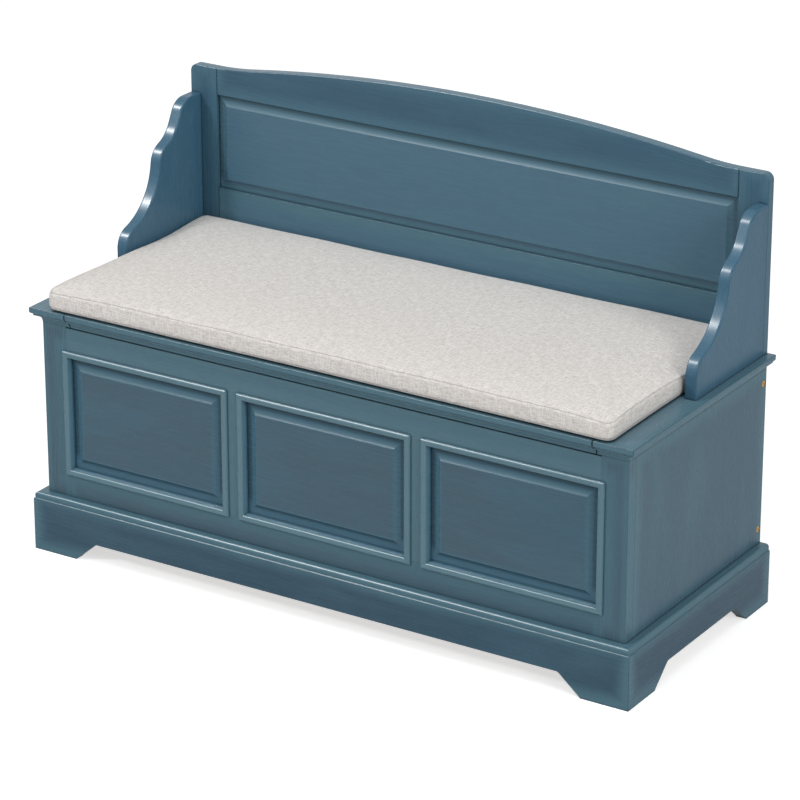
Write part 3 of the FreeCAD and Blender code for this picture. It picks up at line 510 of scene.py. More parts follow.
# How much of the glaze is left near a board's own rim, under bands and under clouds
own_rim_ramp = Ramp(0.004, 0.014, 0.35, 1.0)
band_ramp = Ramp(0.3, 0.7, 0.9, 1.0)
cloud_ramp = Ramp(0.45, 0.72, 1.0, 0.65)
# Blue drifts, and how much of them and of the streaks shows from thin to full glaze
drift_ramp = Ramp(0.5, 0.78, 0.0, 0.25)
cover_ramp = Ramp(0.0, 1.0, 0.3, 1.0)
# Dark streaks, the fade of a joint's line in its own widths, and the change in roughness
brushed_ramp = Ramp(0.3, 0.72, 1.0, 0.0)
line_ramp = Ramp(1.0, 0.2)
sheen_ramp = Ramp(0.3, 0.7, -0.015, 0.02)
# Share of the lighter edge colour (paint wear and a painted highlight), and of streaks and pores in the
# relief
edge_wear_and_highlight_share = 0.6
streak_relief_share = 0.6
pore_relief_share = 0.4


def build_paint_group():
    """Glazed paint: teal at the rims, greyer glaze inwards, dark joints, lighter edges from paint wear and a
    painted highlight, painted shade in corners, and painted light and shade on panel bevels.
    """
    tree, taken, given = new_group(
        "Glazed paint",
        {vector_kind: ["Grain", "Seed", "Centre", "Half size", "Own centre", "Own half size"],
         number_kind: ["Pitch", "Repeats", "Side", "Rim start", "Rim width", "Joint line", "Line width",
                       "Corner reach", "Corner share", "Edge radius", "Streak share", "Roughness",
                       "Foot", "Field", "Relief share", "Facing share"],
         colour_kind: ["Rim colour", "Glaze colour", "Blue colour", "Joint and shade colour", "Edge wear and highlight colour",
                       "Painted light colour"]},
        {colour_kind: ["Colour"], number_kind: ["Gloss", "Relief"], vector_kind: ["Normal"]})
    streaks = place_group(tree, "Brush streaks", {"Grain": taken["Grain"], "Seed": taken["Seed"]})
    zone = place_group(tree, "Rim distance", {
        "Centre": taken["Centre"], "Half size": taken["Half size"], "Pitch": taken["Pitch"],
        "Repeats": taken["Repeats"], "Facing share": taken["Facing share"]})
    own_rim = place_group(tree, "Rim distance", {
        "Centre": taken["Own centre"], "Half size": taken["Own half size"], "Pitch": far_pitch,
        "Repeats": 0.0, "Facing share": 1.0})["Distance"]

    rim = calculate(tree, "MULTIPLY", zone["Distance"], taken["Side"])
    wander = calculate(tree, "SUBTRACT", streaks["Clouds"], middle_share)
    wander = calculate(tree, "MULTIPLY", wander, taken["Rim width"])
    reach = calculate(tree, "SUBTRACT", calculate(tree, "ADD", rim, wander), taken["Rim start"])
    glaze = fade(tree, calculate(tree, "DIVIDE", reach, taken["Rim width"]), whole_ramp)
    glaze = calculate(tree, "MULTIPLY", glaze, fade(tree, own_rim, own_rim_ramp))
    glaze = calculate(tree, "MULTIPLY", glaze, fade(tree, streaks["Bands"], band_ramp))
    glaze = calculate(tree, "MULTIPLY", glaze, fade(tree, streaks["Clouds"], cloud_ramp))
    tone = blend_colours(tree, glaze, taken["Rim colour"], taken["Glaze colour"])
    cover = fade(tree, glaze, cover_ramp)
    drift = calculate(tree, "MULTIPLY", fade(tree, streaks["Drifts"], drift_ramp), cover)
    tone = blend_colours(tree, drift, tone, taken["Blue colour"])

    # Painted light on bevel faces that look up or to the right, and painted shade at the bevels' foot and on
    # faces that look down
    relief = place_group(tree, "Panel relief", {
        "Distance": zone["Distance"], "Rise": zone["Rise"], "Foot": taken["Foot"], "Field": taken["Field"]})
    painted_light = calculate(tree, "MULTIPLY", relief["Painted light"], taken["Relief share"])
    tone = blend_colours(tree, painted_light, tone, taken["Painted light colour"])
    painted_shade = calculate(tree, "MULTIPLY", relief["Gathered"], taken["Relief share"])
    tone = blend_colours(tree, painted_shade, tone, taken["Joint and shade colour"])

    # Edges turn lighter: paint wear and a painted highlight
    edges = place_group(tree, "Rounded edges", {"Radius": taken["Edge radius"]})
    wear_and_highlight = calculate(tree, "MULTIPLY", edges["Edge"], edge_wear_and_highlight_share)
    tone = blend_colours(tree, wear_and_highlight, tone, taken["Edge wear and highlight colour"])
    streaked = calculate(tree, "MULTIPLY", cover, taken["Streak share"])
    brushed = calculate(tree, "MULTIPLY", fade(tree, streaks["Streaks"], brushed_ramp), streaked)
    tone = blend_colours(tree, brushed, tone, taken["Joint and shade colour"])

    # Painted shade in corners and recesses, and dark lines along the joints
    shade = place_group(tree, "Corner shade", {"Reach": taken["Corner reach"]})["Shade"]
    shade = calculate(tree, "MULTIPLY", shade, taken["Corner share"])
    line = fade(tree, calculate(tree, "DIVIDE", own_rim, taken["Line width"]), line_ramp)
    line = calculate(tree, "MULTIPLY", line, taken["Joint line"])
    dark = calculate(tree, "MAXIMUM", shade, line)
    feed(tree, given["Colour"], blend_colours(tree, dark, tone, taken["Joint and shade colour"]))

    sheen = fade(tree, streaks["Streaks"], sheen_ramp)
    feed(tree, given["Gloss"], calculate(tree, "ADD", taken["Roughness"], sheen))
    pores = calculate(tree, "MULTIPLY", streaks["Pores"], pore_relief_share)
    grain = calculate(tree, "MULTIPLY_ADD", streaks["Streaks"], streak_relief_share, pores)
    feed(tree, given["Relief"], grain)
    feed(tree, given["Normal"], edges["Normal"])


def build_groups():
    build_corner_group()
    build_edge_group()
    build_zone_group()
    build_relief_group()
    build_streak_group()
    build_paint_group()


# Painted boards

def box_centre(name):
    low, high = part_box(name)
    return (low + high) / 2


def box_half(name):
    low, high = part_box(name)
    return (high - low) / 2


moulding_centre = box_centre("panel_moulding_centre")
moulding_half = box_half("panel_moulding_centre")
moulding_pitch = (box_centre("panel_moulding_right") - moulding_centre).x
# Reaches a metre further forwards and backwards, so that only the rims round the front count
deep_moulding_half = moulding_half + Vector(along_depth)

# How far in from the mouldings' outer rims their crests and the front panels' feet and fields begin
moulding_crest = 0.010
front_foot = 0.013
front_field = 0.032
# How far in from its own rims the backrest panel's foot and field begin
back_foot = 0.005
back_field = 0.023
# How many joint lines wide the blend is at the edge of a front panel's field
field_blend_lines = 2.0

# Strength of the joints' dark lines
front_joint_share = 0.15
joint_share = 0.3
seat_joint_share = 0.6
# Shares of the common settings: painted corner shade on the front, streaks on the sides, painted bevel light
# and shade on the backrest's panel
front_corner_share = 0.6
side_streak_share = 0.3
back_relief_share = 0.7

# Which way the glaze grows from the rims that it follows
inwards = 1.0
outwards = -1.0

# How far each board's pattern is moved on from the one before, in metres
paint_shift = (1.7, 2.3, 3.1)
wood_shift = (1.3, 2.9, 0.7)


def pattern_offset(count, shift):
    return tuple(count * length for length in shift)


def rim_settings(name):
    """The box whose rims a board's glaze follows: the panel mouldings', or the board's own."""
    if any(name in boards for boards in (front_frame, light_frame, front_panels, panel_mouldings)):
        return {"Centre": moulding_centre, "Half size": moulding_half, "Pitch": moulding_pitch,
                "Repeats": 1.0}
    return {"Centre": box_centre(name), "Half size": box_half(name), "Pitch": far_pitch, "Repeats": 0.0}


def board_groups(paint):
    """Each group of boards, with what sets its paint apart."""
    # The front takes a smaller share of the painted shade in corners
    front = {"Corner share": front_corner_share * paint.corner_share}
    frame_changes = {**front, "Joint line": front_joint_share, "Side": outwards}
    light = {**frame_changes, "Rim colour": paint.light_colour, "Glaze colour": paint.rim_colour}
    # Front panels carry painted light and shade on their bevels
    panel = {**front, "Rim start": front_field, "Rim width": field_blend_lines * paint.line_width,
             "Foot": front_foot, "Field": front_field, "Relief share": paint.relief_share,
             "Rim colour": paint.bevel_colour}
    moulding = {**front, "Half size": deep_moulding_half, "Own half size": deep_moulding_half,
                "Facing share": 0.0, "Rim start": moulding_crest, "Rim width": paint.line_width,
                "Rim colour": paint.moulding_colour, "Glaze colour": paint.bevel_colour}
    plinth = {"Joint line": joint_share, "Glaze colour": paint.plinth_colour}
    side = {"Joint line": joint_share, "Glaze colour": paint.side_colour,
            "Streak share": side_streak_share * paint.streak_share}
    seat = {"Joint line": seat_joint_share, "Glaze colour": paint.top_colour}
    back = {"Joint line": joint_share, "Rim colour": paint.back_rim_colour,
            "Glaze colour": paint.back_colour}
    backrest = {"Joint line": joint_share, "Glaze colour": paint.backrest_colour}
    # The backrest's panel carries painted light and shade on its bevels
    back_panel = {**backrest, "Foot": back_foot, "Field": back_field,
                  "Relief share": back_relief_share * paint.relief_share}
    arm = {"Joint line": joint_share, "Rim colour": paint.arm_colour,
           "Glaze colour": paint.arm_face_colour}
    return (
        (front_frame, frame_changes),
        (light_frame, light),
        (front_panels, panel),
        (panel_mouldings, moulding),
        (plinth_boards, plinth),
        (chest_boards, side),
        (seat_boards, seat),
        (back_boards, back),
        (low_back_boards, backrest),
        (back_panels, back_panel),
        (arm_boards, arm),
    )


def paint_board(name, grain, offset, changes):
    """One board's paint, from the shared settings and the changes for its group of boards."""
    paint = bpy.context.scene.bench_paint
    material, tree, shader = new_material("paint_" + name)
    values = {
        "Grain": grain, "Seed": offset, "Side": inwards, "Rim start": 0.0, "Rim width": paint.rim_width,
        "Own centre": box_centre(name), "Own half size": box_half(name), "Joint line": 0.0,
        # Painted shade in corners: its reach, strength and colour, which also darkens joints and streaks
        "Line width": paint.line_width, "Corner reach": paint.corner_reach,
        "Corner share": paint.corner_share, "Edge radius": paint.edge_radius,
        "Rim colour": paint.rim_colour, "Glaze colour": paint.glaze_colour,
        "Blue colour": paint.blue_colour, "Joint and shade colour": paint.joint_and_shade_colour,
        # Painted light colour for bevels that face up or right; edge colour for paint wear and a painted
        # highlight
        "Edge wear and highlight colour": paint.edge_wear_and_highlight_colour, "Painted light colour": paint.moulding_colour,
        "Streak share": paint.streak_share, "Roughness": paint.roughness, "Foot": 0.0, "Field": 1.0,
        "Relief share": 0.0, "Facing share": 1.0,
    }
    values.update(rim_settings(name))
    values.update(changes)
    painted = place_group(tree, "Glazed paint", values)
    finish_surface(tree, shader, painted["Colour"], painted["Gloss"], painted["Relief"],
                   paint.grain_depth, painted["Normal"])
    shader.inputs["Specular IOR Level"].default_value = paint.shine
    return material


def dress(name, material):
    for material_slot in nodes[name].material_slots:
        material_slot.material = material


class BENCH_OT_paint_boards(bpy.types.Operator):
    """Paint the boards, panels and mouldings"""

    bl_idname = "bench.paint_boards"
    bl_label = "Paint the boards"

    def execute(self, context):
        count = 0
        for boards, changes in board_groups(context.scene.bench_paint):
            for name, grain in boards.items():
                count += 1
                dress(name, paint_board(name, grain, pattern_offset(count, paint_shift), changes))
        return {"FINISHED"}


# Bare wood

# Growth lines, pores, and the roughness between and on the lines
growth_ramp = Ramp(0.35, 0.65)
wood_pore_ramp = Ramp(0.6, 0.8, 0.0, 0.5)
wood_gloss_ramp = Ramp(0.3, 0.7, 0.55, 0.72)
# Painted shade in the bare wood's corners, its reach and strength, and the pores' depth
wood_corner_reach = 0.01
wood_corner_share = 0.4
wood_pore_depth = 0.0001


def bare_wood(name, grain, offset, early, late):
    wood_shade = bpy.context.scene.bench_wood.wood_shade_colour
    material, tree, shader = new_material("wood_" + name)
    streaks = place_group(tree, "Brush streaks", {"Grain": grain, "Seed": offset})
    tone = blend_colours(tree, fade(tree, streaks["Streaks"], growth_ramp), early, late)
    tone = blend_colours(tree, fade(tree, streaks["Pores"], wood_pore_ramp), tone, late)
    # Painted shade in the corners
    tone = shade_corners(tree, tone, wood_corner_reach, wood_corner_share, wood_shade)
    gloss = fade(tree, streaks["Streaks"], wood_gloss_ramp)
    finish_surface(tree, shader, tone, gloss, streaks["Pores"], wood_pore_depth)
    return material


class BENCH_OT_finish_wood(bpy.types.Operator):
    """Finish the unpainted boards, blocks and dowels"""

    bl_idname = "bench.finish_wood"
    bl_label = "Finish the bare wood"

    def execute(self, context):
        wood = context.scene.bench_wood
        pieces = [(name, grain, wood.early_colour, wood.late_colour) for name, grain in bare_boards.items()]
        pieces += [(name, along_height, wood.dowel_colour, wood.early_colour) for name in dowel_nodes]
        for count, (name, grain, early, late) in enumerate(pieces, 1):
            dress(name, bare_wood(name, grain, pattern_offset(count, wood_shift), early, late))
        return {"FINISHED"}


# Metal and felt

# Each plating's roughness from bright to dull, and how far it tarnishes
brass_gloss_ramp = Ramp(0.3, 0.7, 0.22, 0.38)
brass_tarnish_ramp = Ramp(0.45, 0.75, 0.0, 0.35)
steel_gloss_ramp = Ramp(0.3, 0.7, 0.28, 0.44)
steel_tarnish_ramp = Ramp(0.45, 0.75, 0.0, 0.3)
# How bright tarnished plating stays, its corners, its edges and its fine scratches
tarnished_share = 0.45
metal_corner_reach = 0.002
metal_corner_share = 0.7
metal_edge_radius = 0.0003
mottle_noise = Noise(260.0, 3.0, 0.6)
scratch_noise = Noise(1800.0, 2.0, 0.5)
scratch_depth = 0.00002

# The felt's fibres, from dark to pale, and their roughness
fibre_noise = Noise(2500.0, 4.0, 0.7)
fibre_ramp = Ramp(0.35, 0.7)
felt_gloss_ramp = Ramp(0.3, 0.7, 0.85, 1.0)
pale_fibre_ratio = 2.2
fibre_depth = 0.0003


def plated_metal(name, plating, gloss_ramp, tarnish_ramp):
    material, tree, shader = new_material(name)
    place = object_place(tree)
    mottle = cloud(tree, place, mottle_noise)
    darker = tuple(channel * tarnished_share for channel in plating)
    tone = blend_colours(tree, fade(tree, mottle, tarnish_ramp), plating, darker)
    tone = shade_corners(tree, tone, metal_corner_reach, metal_corner_share, darker)
    shader.inputs["Metallic"].default_value = 1.0
    edges = place_group(tree, "Rounded edges", {"Radius": metal_edge_radius})
    finish_surface(tree, shader, tone, fade(tree, mottle, gloss_ramp), cloud(tree, place, scratch_noise),
                   scratch_depth, edges["Normal"])
    return material


def felt(dark):
    material, tree, shader = new_material("bumper_felt")
    fibres = cloud(tree, object_place(tree), fibre_noise)
    pale = tuple(channel * pale_fibre_ratio for channel in dark)
    tone = blend_colours(tree, fade(tree, fibres, fibre_ramp), dark, pale)
    finish_surface(tree, shader, tone, fade(tree, fibres, felt_gloss_ramp), fibres, fibre_depth)
    return material


class BENCH_OT_finish_hardware(bpy.types.Operator):
    """Finish the bolts, hinges, screws, nuts and bumpers"""

    bl_idname = "bench.finish_hardware"
    bl_label = "Finish the hardware"

    def execute(self, context):
        hardware = context.scene.bench_hardware
        brass = plated_metal("brass_plate", hardware.brass_colour, brass_gloss_ramp, brass_tarnish_ramp)
        steel = plated_metal("zinc_plate", hardware.steel_colour, steel_gloss_ramp, steel_tarnish_ramp)
        bumper_felt = felt(hardware.felt_colour)
        for finished, material in ((brass_nodes, brass), (steel_nodes, steel), (felt_nodes, bumper_felt)):
            for name in finished:
                dress(name, material)
        return {"FINISHED"}


# Cushion

cushion_low, cushion_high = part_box("cushion")

# Edge rings on the blank's rounded corners and edges
corner_segments = 6
edge_segments = 4

# The stuffing: steps, pressure, and how near a seam, in voxels, the cloth is held
stuffing_steps = 20
stuffing_pressure = 4.0
held_share = 0.6
tiny = 1e-9

# The front left corner begins to stand out this far in front of the arms
ear_gap = 0.05
ear_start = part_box("arm_left")[0].y - ear_gap
# How sharply the droop gathers at the corners and the waves at the rim
corner_power = 8
rim_power = 6
rear_droop_share = 0.3
# Slow waves across and along: their height, rates and starts
wave_share = 0.02
wave_rates = (31.0, 23.0)
wave_starts = (0.7, 1.1)
# Dents beside the arms: the middle of each, and its reach across and along
dents = (
    ((cushion_low.x, 0.09), (0.035, 0.07)),
    ((cushion_high.x, 0.02), (0.06, 0.05)),
)

# How hard a seam pulls at a face that stands upright, and the slack that spares the level ones
seam_grip = 1.5
seam_slack = 0.3
# Puckers along the seams: a main and a finer wave
pucker_rate = 260.0
fine_pucker_ratio = 2.3
fine_pucker_start = 1.0
pucker_share = 0.25
fine_pucker_share = 0.15

# A face lies level, for the cloth's layout, where its normal rises more than this
level_share = 0.7


def add_object(name, data):
    made = bpy.data.objects.new(name, data)
    bpy.context.scene.collection.objects.link(made)
    return made


def finished_mesh(name, shape):
    mesh = bpy.data.meshes.new(name)
    shape.to_mesh(mesh)
    shape.free()
    return mesh


def bevel_edges(shape, edges, radius, segments):
    bmesh.ops.bevel(shape, geom=edges, offset=radius, offset_type="OFFSET", segments=segments,
                    profile=0.5, affect="EDGES", material=-1)


def cushion_blank(settings):
    """A box with rounded corners and edges, a little smaller than the finished cushion."""
    inset = settings.start_inset
    size = cushion_high - cushion_low
    scale = Vector((size.x - 2 * inset, size.y - 2 * inset, size.z - settings.crown))
    centre = (cushion_low + cushion_high) / 2
    centre.z = cushion_low.z + scale.z / 2
    blank = bmesh.new()
    bmesh.ops.create_cube(blank, size=1.0)
    bmesh.ops.scale(blank, vec=scale, verts=blank.verts)
    bmesh.ops.translate(blank, vec=centre, verts=blank.verts)
    upright = [edge for edge in blank.edges
               if abs(edge.verts[0].co.z - edge.verts[1].co.z) > scale.z / 2]
    bevel_edges(blank, upright, settings.corner_round, corner_segments)
    top_level = cushion_low.z + scale.z
    for level, radius in ((cushion_low.z, settings.low_round), (top_level, settings.top_round)):
        rim = [edge for edge in blank.edges
               if all(abs(vert.co.z - level) < inset / 2 for vert in edge.verts)]
        bevel_edges(blank, rim, radius, edge_segments)
    return finished_mesh("seat_cushion", blank)


def bake_modifiers(piece):
    """Gives the piece the mesh that its modifiers make, and takes them off."""
    graph = bpy.context.evaluated_depsgraph_get()
    mesh = bpy.data.meshes.new_from_object(piece.evaluated_get(graph), depsgraph=graph)
    piece.modifiers.clear()
    piece.data = mesh


def read_values(items, name, width=1, kind=np.float32):
    """A row of values for each of a mesh's points, corners or faces."""
    values = np.empty(len(items) * width, kind)
    items.foreach_get(name, values)
    return values.reshape(-1, width)


def mesh_points(mesh):
    return read_values(mesh.vertices, "co", 3).astype(float)


def set_points(mesh, points):
    mesh.vertices.foreach_set("co", points.astype(np.float32).ravel())
    mesh.update()


def stuff_cushion(piece, settings):
    """Cloth under pressure, held along its two seams and where it lies on the seat."""
    start = mesh_points(piece.data)
    heights = start[:, 2] - cushion_low.z
    held = piece.vertex_groups.new(name="held")
    near_seam = settings.voxel * held_share
    seams = np.minimum(abs(heights - settings.top_seam), abs(heights - settings.low_seam)) < near_seam
    resting = heights < settings.start_inset
    held.add([int(index) for index in np.nonzero(seams | resting)[0]], 1.0, "REPLACE")
    cloth = piece.modifiers.new("Stuffing", "CLOTH")
    cloth.settings.use_pressure = True
    cloth.settings.uniform_pressure_force = stuffing_pressure
    cloth.settings.vertex_group_mass = held.name
    cloth.settings.effector_weights.gravity = 0.0
    cloth.point_cache.frame_start = 1
    cloth.point_cache.frame_end = stuffing_steps
    for step in range(1, stuffing_steps + 1):
        bpy.context.scene.frame_set(step)
    bake_modifiers(piece)
    bpy.context.scene.frame_set(1)
    moved = mesh_points(piece.data) - start
    sideways = np.linalg.norm(moved[:, :2], axis=1)
    moved[:, :2] *= np.minimum(1.0, settings.start_inset / np.maximum(sideways, tiny))[:, None]
    moved[:, 2] = np.clip(moved[:, 2], -settings.start_inset, settings.crown)
    set_points(piece.data, start + moved)
    piece.vertex_groups.clear()


def sew_seams(piece, settings):
    """Pulls the cloth in along both seams, with small puckers."""
    mesh = piece.data
    points = mesh_points(mesh)
    outward = read_values(mesh.vertices, "normal", 3).astype(float)
    outward[:, 2] = 0.0
    size = np.linalg.norm(outward, axis=1)
    side = np.clip(size * seam_grip - seam_slack, 0.0, 1.0)
    outward /= np.maximum(size, tiny)[:, None]
    heights = points[:, 2] - cushion_low.z
    run = (points[:, 0] + points[:, 1]) * pucker_rate
    fine_run = run * fine_pucker_ratio + fine_pucker_start
    pucker = 1.0 + pucker_share * np.sin(run) + fine_pucker_share * np.sin(fine_run)
    depth = np.zeros(len(points))
    for level in (settings.top_seam, settings.low_seam):
        depth += settings.seam_depth * np.exp(-((heights - level) / (settings.seam_width / 2)) ** 2)
    points -= outward * (depth * side * pucker)[:, None]
    set_points(mesh, points)


def map_cloth(piece):
    """Lays the cloth flat on the top and bottom, and as a band round the sides."""
    mesh = piece.data
    layer = mesh.uv_layers.new(name="cloth")
    corners = read_values(mesh.loops, "vertex_index", kind=np.int32).ravel()
    counts = read_values(mesh.polygons, "loop_total", kind=np.int32).ravel()
    faces = np.abs(read_values(mesh.polygons, "normal", 3))
    facing = np.repeat(faces, counts, axis=0)
    place = mesh_points(mesh)[corners]
    level = facing[:, 2] > level_share
    frontal = facing[:, 1] >= facing[:, 0]
    along = np.where(level | frontal, place[:, 0], place[:, 1])
    other = np.where(level, place[:, 1], place[:, 2])
    layer.data.foreach_set("uv", np.stack([along, other], axis=1).astype(np.float32).ravel())


def smooth_step(value):
    value = np.clip(value, 0.0, 1.0)
    return value * value * (3.0 - 2.0 * value)


def settle_cushion(piece, settings):
    """Pulls the sides in, lets the front left corner stand out, and adds droop, slow waves and dents."""
    points = mesh_points(piece.data)
    centre = np.array((cushion_low + cushion_high) / 2)
    half = np.array((cushion_high - cushion_low) / 2)
    share = np.clip((points - centre) / half, -1.0, 1.0)
    across = share[:, 0]
    along = share[:, 1]
    front = smooth_step((ear_start - points[:, 1]) / (ear_start - cushion_low.y))
    points[:, 0] -= across * settings.side_pull * (1.0 - along ** 2)
    points[:, 0] += settings.left_ear * front * np.minimum(across, 0.0)
    points[:, 1] -= along * settings.side_pull * (1.0 - across ** 2)
    corner = across ** corner_power * along ** corner_power
    droop = settings.corner_droop_share * corner * np.where(along < 0.0, 1.0, rear_droop_share)
    height = points[:, 2] - cushion_low.z
    rim = np.maximum(abs(across), abs(along)) ** rim_power
    wave = np.sin(points[:, :2] * wave_rates + wave_starts).prod(axis=1)
    height *= 1.0 - droop + wave * rim * wave_share
    for place, reach in dents:
        away = (points[:, :2] - place) / reach
        height -= settings.dent * np.exp(-(away ** 2).sum(axis=1)) * height / (2 * half[2])
    points[:, 2] = cushion_low.z + height
    set_points(piece.data, points)


class BENCH_OT_make_cushion(bpy.types.Operator):
    """Sew and stuff the seat cushion"""

    bl_idname = "bench.make_cushion"
    bl_label = "Make the cushion"

    def execute(self, context):
        settings = context.scene.bench_cushion
        piece = add_object("seat_cushion", cushion_blank(settings))
        remesh = piece.modifiers.new("Even mesh", "REMESH")
        remesh.mode = "VOXEL"
        remesh.voxel_size = settings.voxel
        bake_modifiers(piece)
        stuff_cushion(piece, settings)
        finer = piece.modifiers.new("Finer", "SUBSURF")
        finer.levels = 1
        finer.render_levels = 1
        bake_modifiers(piece)
        sew_seams(piece, settings)
        map_cloth(piece)
        settle_cushion(piece, settings)
        for polygon in piece.data.polygons:
            polygon.use_smooth = True
        piece.data.materials.clear()
        piece.data.materials.append(linen(settings))
        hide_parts("cushion")
        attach(piece, "cushion")
        return {"FINISHED"}


# Linen

# Slubs and threads per metre, across and along the cloth
level_slub_rates = (90.0, 620.0)
upright_slub_rates = (560.0, 110.0)
level_thread_rates = (60.0, 460.0)
upright_thread_rates = (460.0, 60.0)
thread_noise = Noise(1.0, 2.0, 0.6)
# How dark the slubs and how pale the thin threads turn, and the roughness from thin to thick
level_slub_ramp = Ramp(0.44, 0.62, 0.0, 0.6)
upright_slub_ramp = Ramp(0.48, 0.64, 0.0, 0.45)
pale_thread_ramp = Ramp(0.5, 0.62)
pale_thread_share = 0.7
linen_gloss_ramp = Ramp(0.8, 1.2, 0.85, 1.0)
# Painted shade in the cushion's corners and where it meets the wood: its reach and strength
linen_corner_reach = 0.02
linen_corner_share = 0.3
# The cloth's reflections, its fuzz, and the weave's part in the relief
linen_shine = 0.1
fuzz_share = 0.15
fuzz_roughness = 0.5
weave_share = 0.25
thread_depth = 0.0009
# How dark the painted shade along the seams is, and its reach in widths of a seam
top_seam_share = 0.55
low_seam_share = 0.4
seam_line_share = 0.35


def threads(tree, flat, rates):
    """Threads drawn out one way, where flat is the cloth's own map."""
    return cloud(tree, calculate_vector(tree, "MULTIPLY", flat, (*rates, 1.0)), thread_noise)


def seam_mask(tree, settings, flat):
    """Thin lines of painted shade along the two seams, which only the band round the sides has."""
    height = split(tree, flat)[1]
    lines = None
    for level, strength in ((settings.top_seam, top_seam_share), (settings.low_seam, low_seam_share)):
        away = calculate(tree, "ABSOLUTE", calculate(tree, "SUBTRACT", height, cushion_low.z + level))
        line = fade(tree, away, Ramp(settings.seam_width * seam_line_share, 0.0, 0.0, strength))
        lines = line if lines is None else calculate(tree, "MAXIMUM", lines, line)
    return lines


def linen(settings):
    """Slubby plain weave: threads both ways, uneven in thickness and tone."""
    material, tree, shader = new_material("linen")
    flat = make_node(tree, "ShaderNodeUVMap", uv_map="cloth").outputs[0]
    level_slubs = threads(tree, flat, level_slub_rates)
    upright_slubs = threads(tree, flat, upright_slub_rates)
    level_threads = threads(tree, flat, level_thread_rates)
    upright_threads = threads(tree, flat, upright_thread_rates)

    dark = fade(tree, level_slubs, level_slub_ramp)
    dark = calculate(tree, "MAXIMUM", dark, fade(tree, upright_slubs, upright_slub_ramp))
    tone = blend_colours(tree, dark, settings.thread_colour, settings.slub_colour)
    pale = fade(tree, level_threads, pale_thread_ramp)
    pale = calculate(tree, "MAXIMUM", pale, fade(tree, upright_threads, pale_thread_ramp))
    pale = calculate(tree, "MULTIPLY", pale, pale_thread_share)
    tone = blend_colours(tree, pale, tone, settings.pale_colour)
    # Painted shade along the seams
    tone = blend_colours(tree, seam_mask(tree, settings, flat), tone, settings.seam_colour)
    # Painted shade in corners and where the cushion meets the wood
    tone = shade_corners(tree, tone, linen_corner_reach, linen_corner_share, settings.seam_colour)

    apart = split(tree, flat)
    turn = math.pi / settings.thread_pitch
    over = calculate(tree, "SINE", calculate(tree, "MULTIPLY", apart[0], turn))
    under = calculate(tree, "SINE", calculate(tree, "MULTIPLY", apart[1], turn))
    weave = calculate(tree, "MULTIPLY", over, under)
    both = calculate(tree, "ADD", level_threads, upright_threads)
    slubs = calculate(tree, "ADD", level_slubs, upright_slubs)
    relief = calculate(tree, "ADD", calculate(tree, "MULTIPLY_ADD", weave, weave_share, both), slubs)
    finish_surface(tree, shader, tone, fade(tree, both, linen_gloss_ramp), relief, thread_depth)
    shader.inputs["Specular IOR Level"].default_value = linen_shine
    shader.inputs["Sheen Weight"].default_value = fuzz_share
    shader.inputs["Sheen Roughness"].default_value = fuzz_roughness
    return material


# Stage

# Lamps: where each hangs, and its width and height
Lamp = namedtuple("Lamp", "place size")
lamps = {
    "key_lamp": Lamp((-2.0, -2.9, 2.6), (0.6, 0.6)),
    "top_lamp": Lamp((0.2, -0.6, 3.0), (2.6, 1.8)),
    "fill_lamp": Lamp((6.0, -2.2, 3.2), (2.6, 2.6)),
    "gloss_lamp": Lamp((-2.1, -1.7, 3.6), (1.6, 0.5)),
}

# The camera's sensor in millimetres, and how far it sees in metres
sensor_width = 36.0
sight_limit = 200.0


def add_lamp(name, power):
    """A rectangular lamp that faces the middle of the bench, level along the bench's width."""
    data = bpy.data.lights.new(name, "AREA")
    data.shape = "RECTANGLE"
    data.size, data.size_y = lamps[name].size
    data.energy = power
    lamp = add_object(name, data)
    lamp.location = lamps[name].place
    middle = (cad_box[0] + cad_box[1]) / 2
    behind = (lamp.location - middle).normalized()
    upward = behind.cross(Vector(along_width)).normalized()
    lamp.rotation_euler = Matrix((upward.cross(behind), upward, behind)).transposed().to_euler()
    return lamp


def floor_material(studio):
    """A pale matt floor that adds white where it is seen, and keeps the object's shadow."""
    material, tree, shader = new_material("floor")
    feed(tree, shader.inputs["Base Color"], studio.floor_colour)
    shader.inputs["Roughness"].default_value = 1.0
    shader.inputs["Specular IOR Level"].default_value = 0.0
    path = make_node(tree, "ShaderNodeLightPath").outputs
    direct = calculate(tree, "MAXIMUM", path["Is Camera Ray"], path["Is Transmission Ray"])
    direct = calculate(tree, "MULTIPLY", direct, studio.floor_glow)
    mirrored = calculate(tree, "MULTIPLY", path["Is Glossy Ray"], studio.floor_shine)
    strength = calculate(tree, "MAXIMUM", direct, mirrored)
    glow = make_node(tree, "ShaderNodeEmission", {"Color": white, "Strength": strength})
    both = make_node(tree, "ShaderNodeAddShader", {0: shader.outputs[0], 1: glow.outputs[0]})
    feed(tree, tree.nodes["Material Output"].inputs["Surface"], both.outputs[0])
    return material


def make_world(studio):
    """White wherever it is seen or mirrored, and an even, weaker light on the object."""
    world = bpy.data.worlds.new("studio")
    bpy.context.scene.world = world
    world.use_nodes = True
    tree = world.node_tree
    backdrop = tree.nodes["Background"]
    feed(tree, backdrop.inputs["Color"], white)
    path = make_node(tree, "ShaderNodeLightPath").outputs
    seen = calculate(tree, "MAXIMUM", path["Is Camera Ray"], path["Is Glossy Ray"])
    seen = calculate(tree, "MAXIMUM", seen, path["Is Transmission Ray"])
    feed(tree, backdrop.inputs["Strength"], fade(tree, seen, whole_ramp._replace(low=studio.ambient)))


def add_floor(studio):
    ground = bmesh.new()
    bmesh.ops.create_grid(ground, x_segments=1, y_segments=1, size=studio.floor_size / 2)
    mesh = finished_mesh("floor", ground)
    mesh.materials.append(floor_material(studio))
    floor = add_object("floor", mesh)


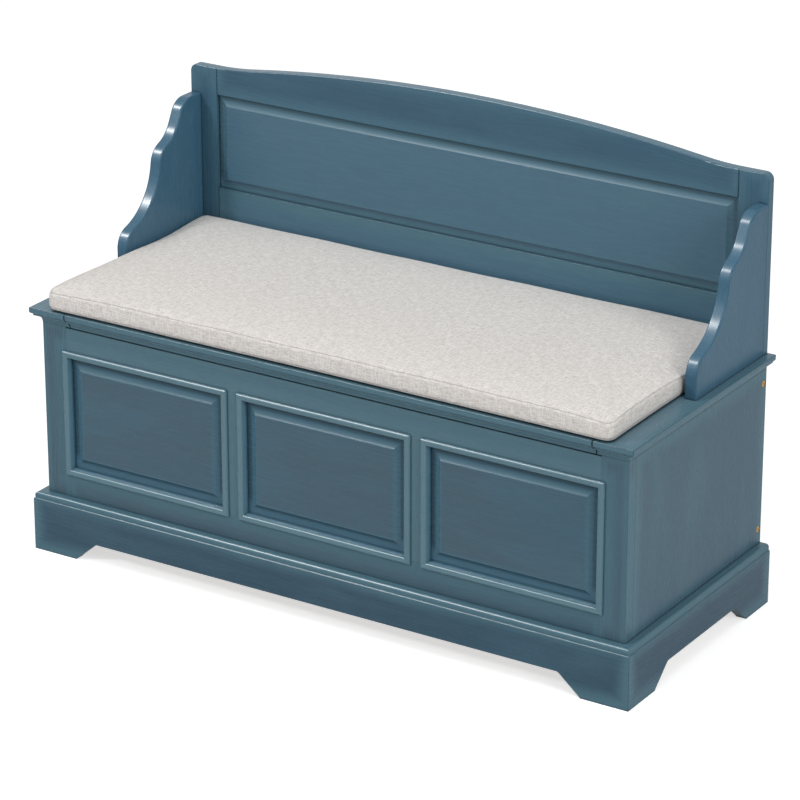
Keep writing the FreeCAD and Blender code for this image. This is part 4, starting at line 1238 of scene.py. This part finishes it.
def add_camera(studio):
    data = bpy.data.cameras.new("camera")
    data.lens = studio.lens
    data.sensor_width = sensor_width
    data.clip_end = sight_limit
    camera = add_object("camera", data)
    level = math.cos(studio.camera_rise)
    back = Vector((math.sin(studio.camera_turn) * level, -math.cos(studio.camera_turn) * level,
                   math.sin(studio.camera_rise)))
    camera.location = Vector(studio.camera_target) + back * studio.camera_distance
    camera.rotation_euler = (-back).to_track_quat("-Z", "Y").to_euler()
    bpy.context.scene.camera = camera


class BENCH_OT_set_stage(bpy.types.Operator):
    """Set up the floor, the backdrop, the lamps and the camera"""

    bl_idname = "bench.set_stage"
    bl_label = "Set the stage"

    def execute(self, context):
        studio = context.scene.bench_studio
        add_floor(studio)
        make_world(studio)
        add_lamp("key_lamp", studio.key_power)
        add_lamp("top_lamp", studio.top_power)
        add_lamp("fill_lamp", studio.fill_power)
        add_lamp("gloss_lamp", studio.gloss_power).visible_diffuse = False
        add_camera(studio)
        context.scene.view_settings.view_transform = "Standard"
        return {"FINISHED"}


# The steps in the sidebar

steps = (
    (BENCH_OT_set_stage, "bench_studio", BenchStudio),
    (BENCH_OT_paint_boards, "bench_paint", BenchPaint),
    (BENCH_OT_finish_wood, "bench_wood", BenchWood),
    (BENCH_OT_finish_hardware, "bench_hardware", BenchHardware),
    (BENCH_OT_make_cushion, "bench_cushion", BenchCushion),
)


class BENCH_PT_finish(bpy.types.Panel):
    """Lists the steps and their settings"""

    bl_idname = "BENCH_PT_finish"
    bl_label = "Storage bench"
    bl_space_type = "VIEW_3D"
    bl_region_type = "UI"
    bl_category = "Bench"

    def draw(self, context):
        for step, settings_name, _ in steps:
            self.layout.operator(step.bl_idname)
            settings = getattr(context.scene, settings_name)
            for name in settings.bl_rna.properties.keys():
                if name not in ("rna_type", "name"):
                    self.layout.prop(settings, name)


def register():
    for step, settings_name, settings_group in steps:
        bpy.utils.register_class(settings_group)
        setattr(bpy.types.Scene, settings_name, bpy.props.PointerProperty(type=settings_group))
        bpy.utils.register_class(step)
    bpy.utils.register_class(BENCH_PT_finish)


def unregister():
    bpy.utils.unregister_class(BENCH_PT_finish)
    for step, settings_name, settings_group in reversed(steps):
        bpy.utils.unregister_class(step)
        delattr(bpy.types.Scene, settings_name)
        bpy.utils.unregister_class(settings_group)


def main():
    register()
    build_groups()
    bpy.ops.bench.set_stage()
    bpy.ops.bench.paint_boards()
    bpy.ops.bench.finish_wood()
    bpy.ops.bench.finish_hardware()
    bpy.ops.bench.make_cushion()


if __name__ == "__main__":
    main()
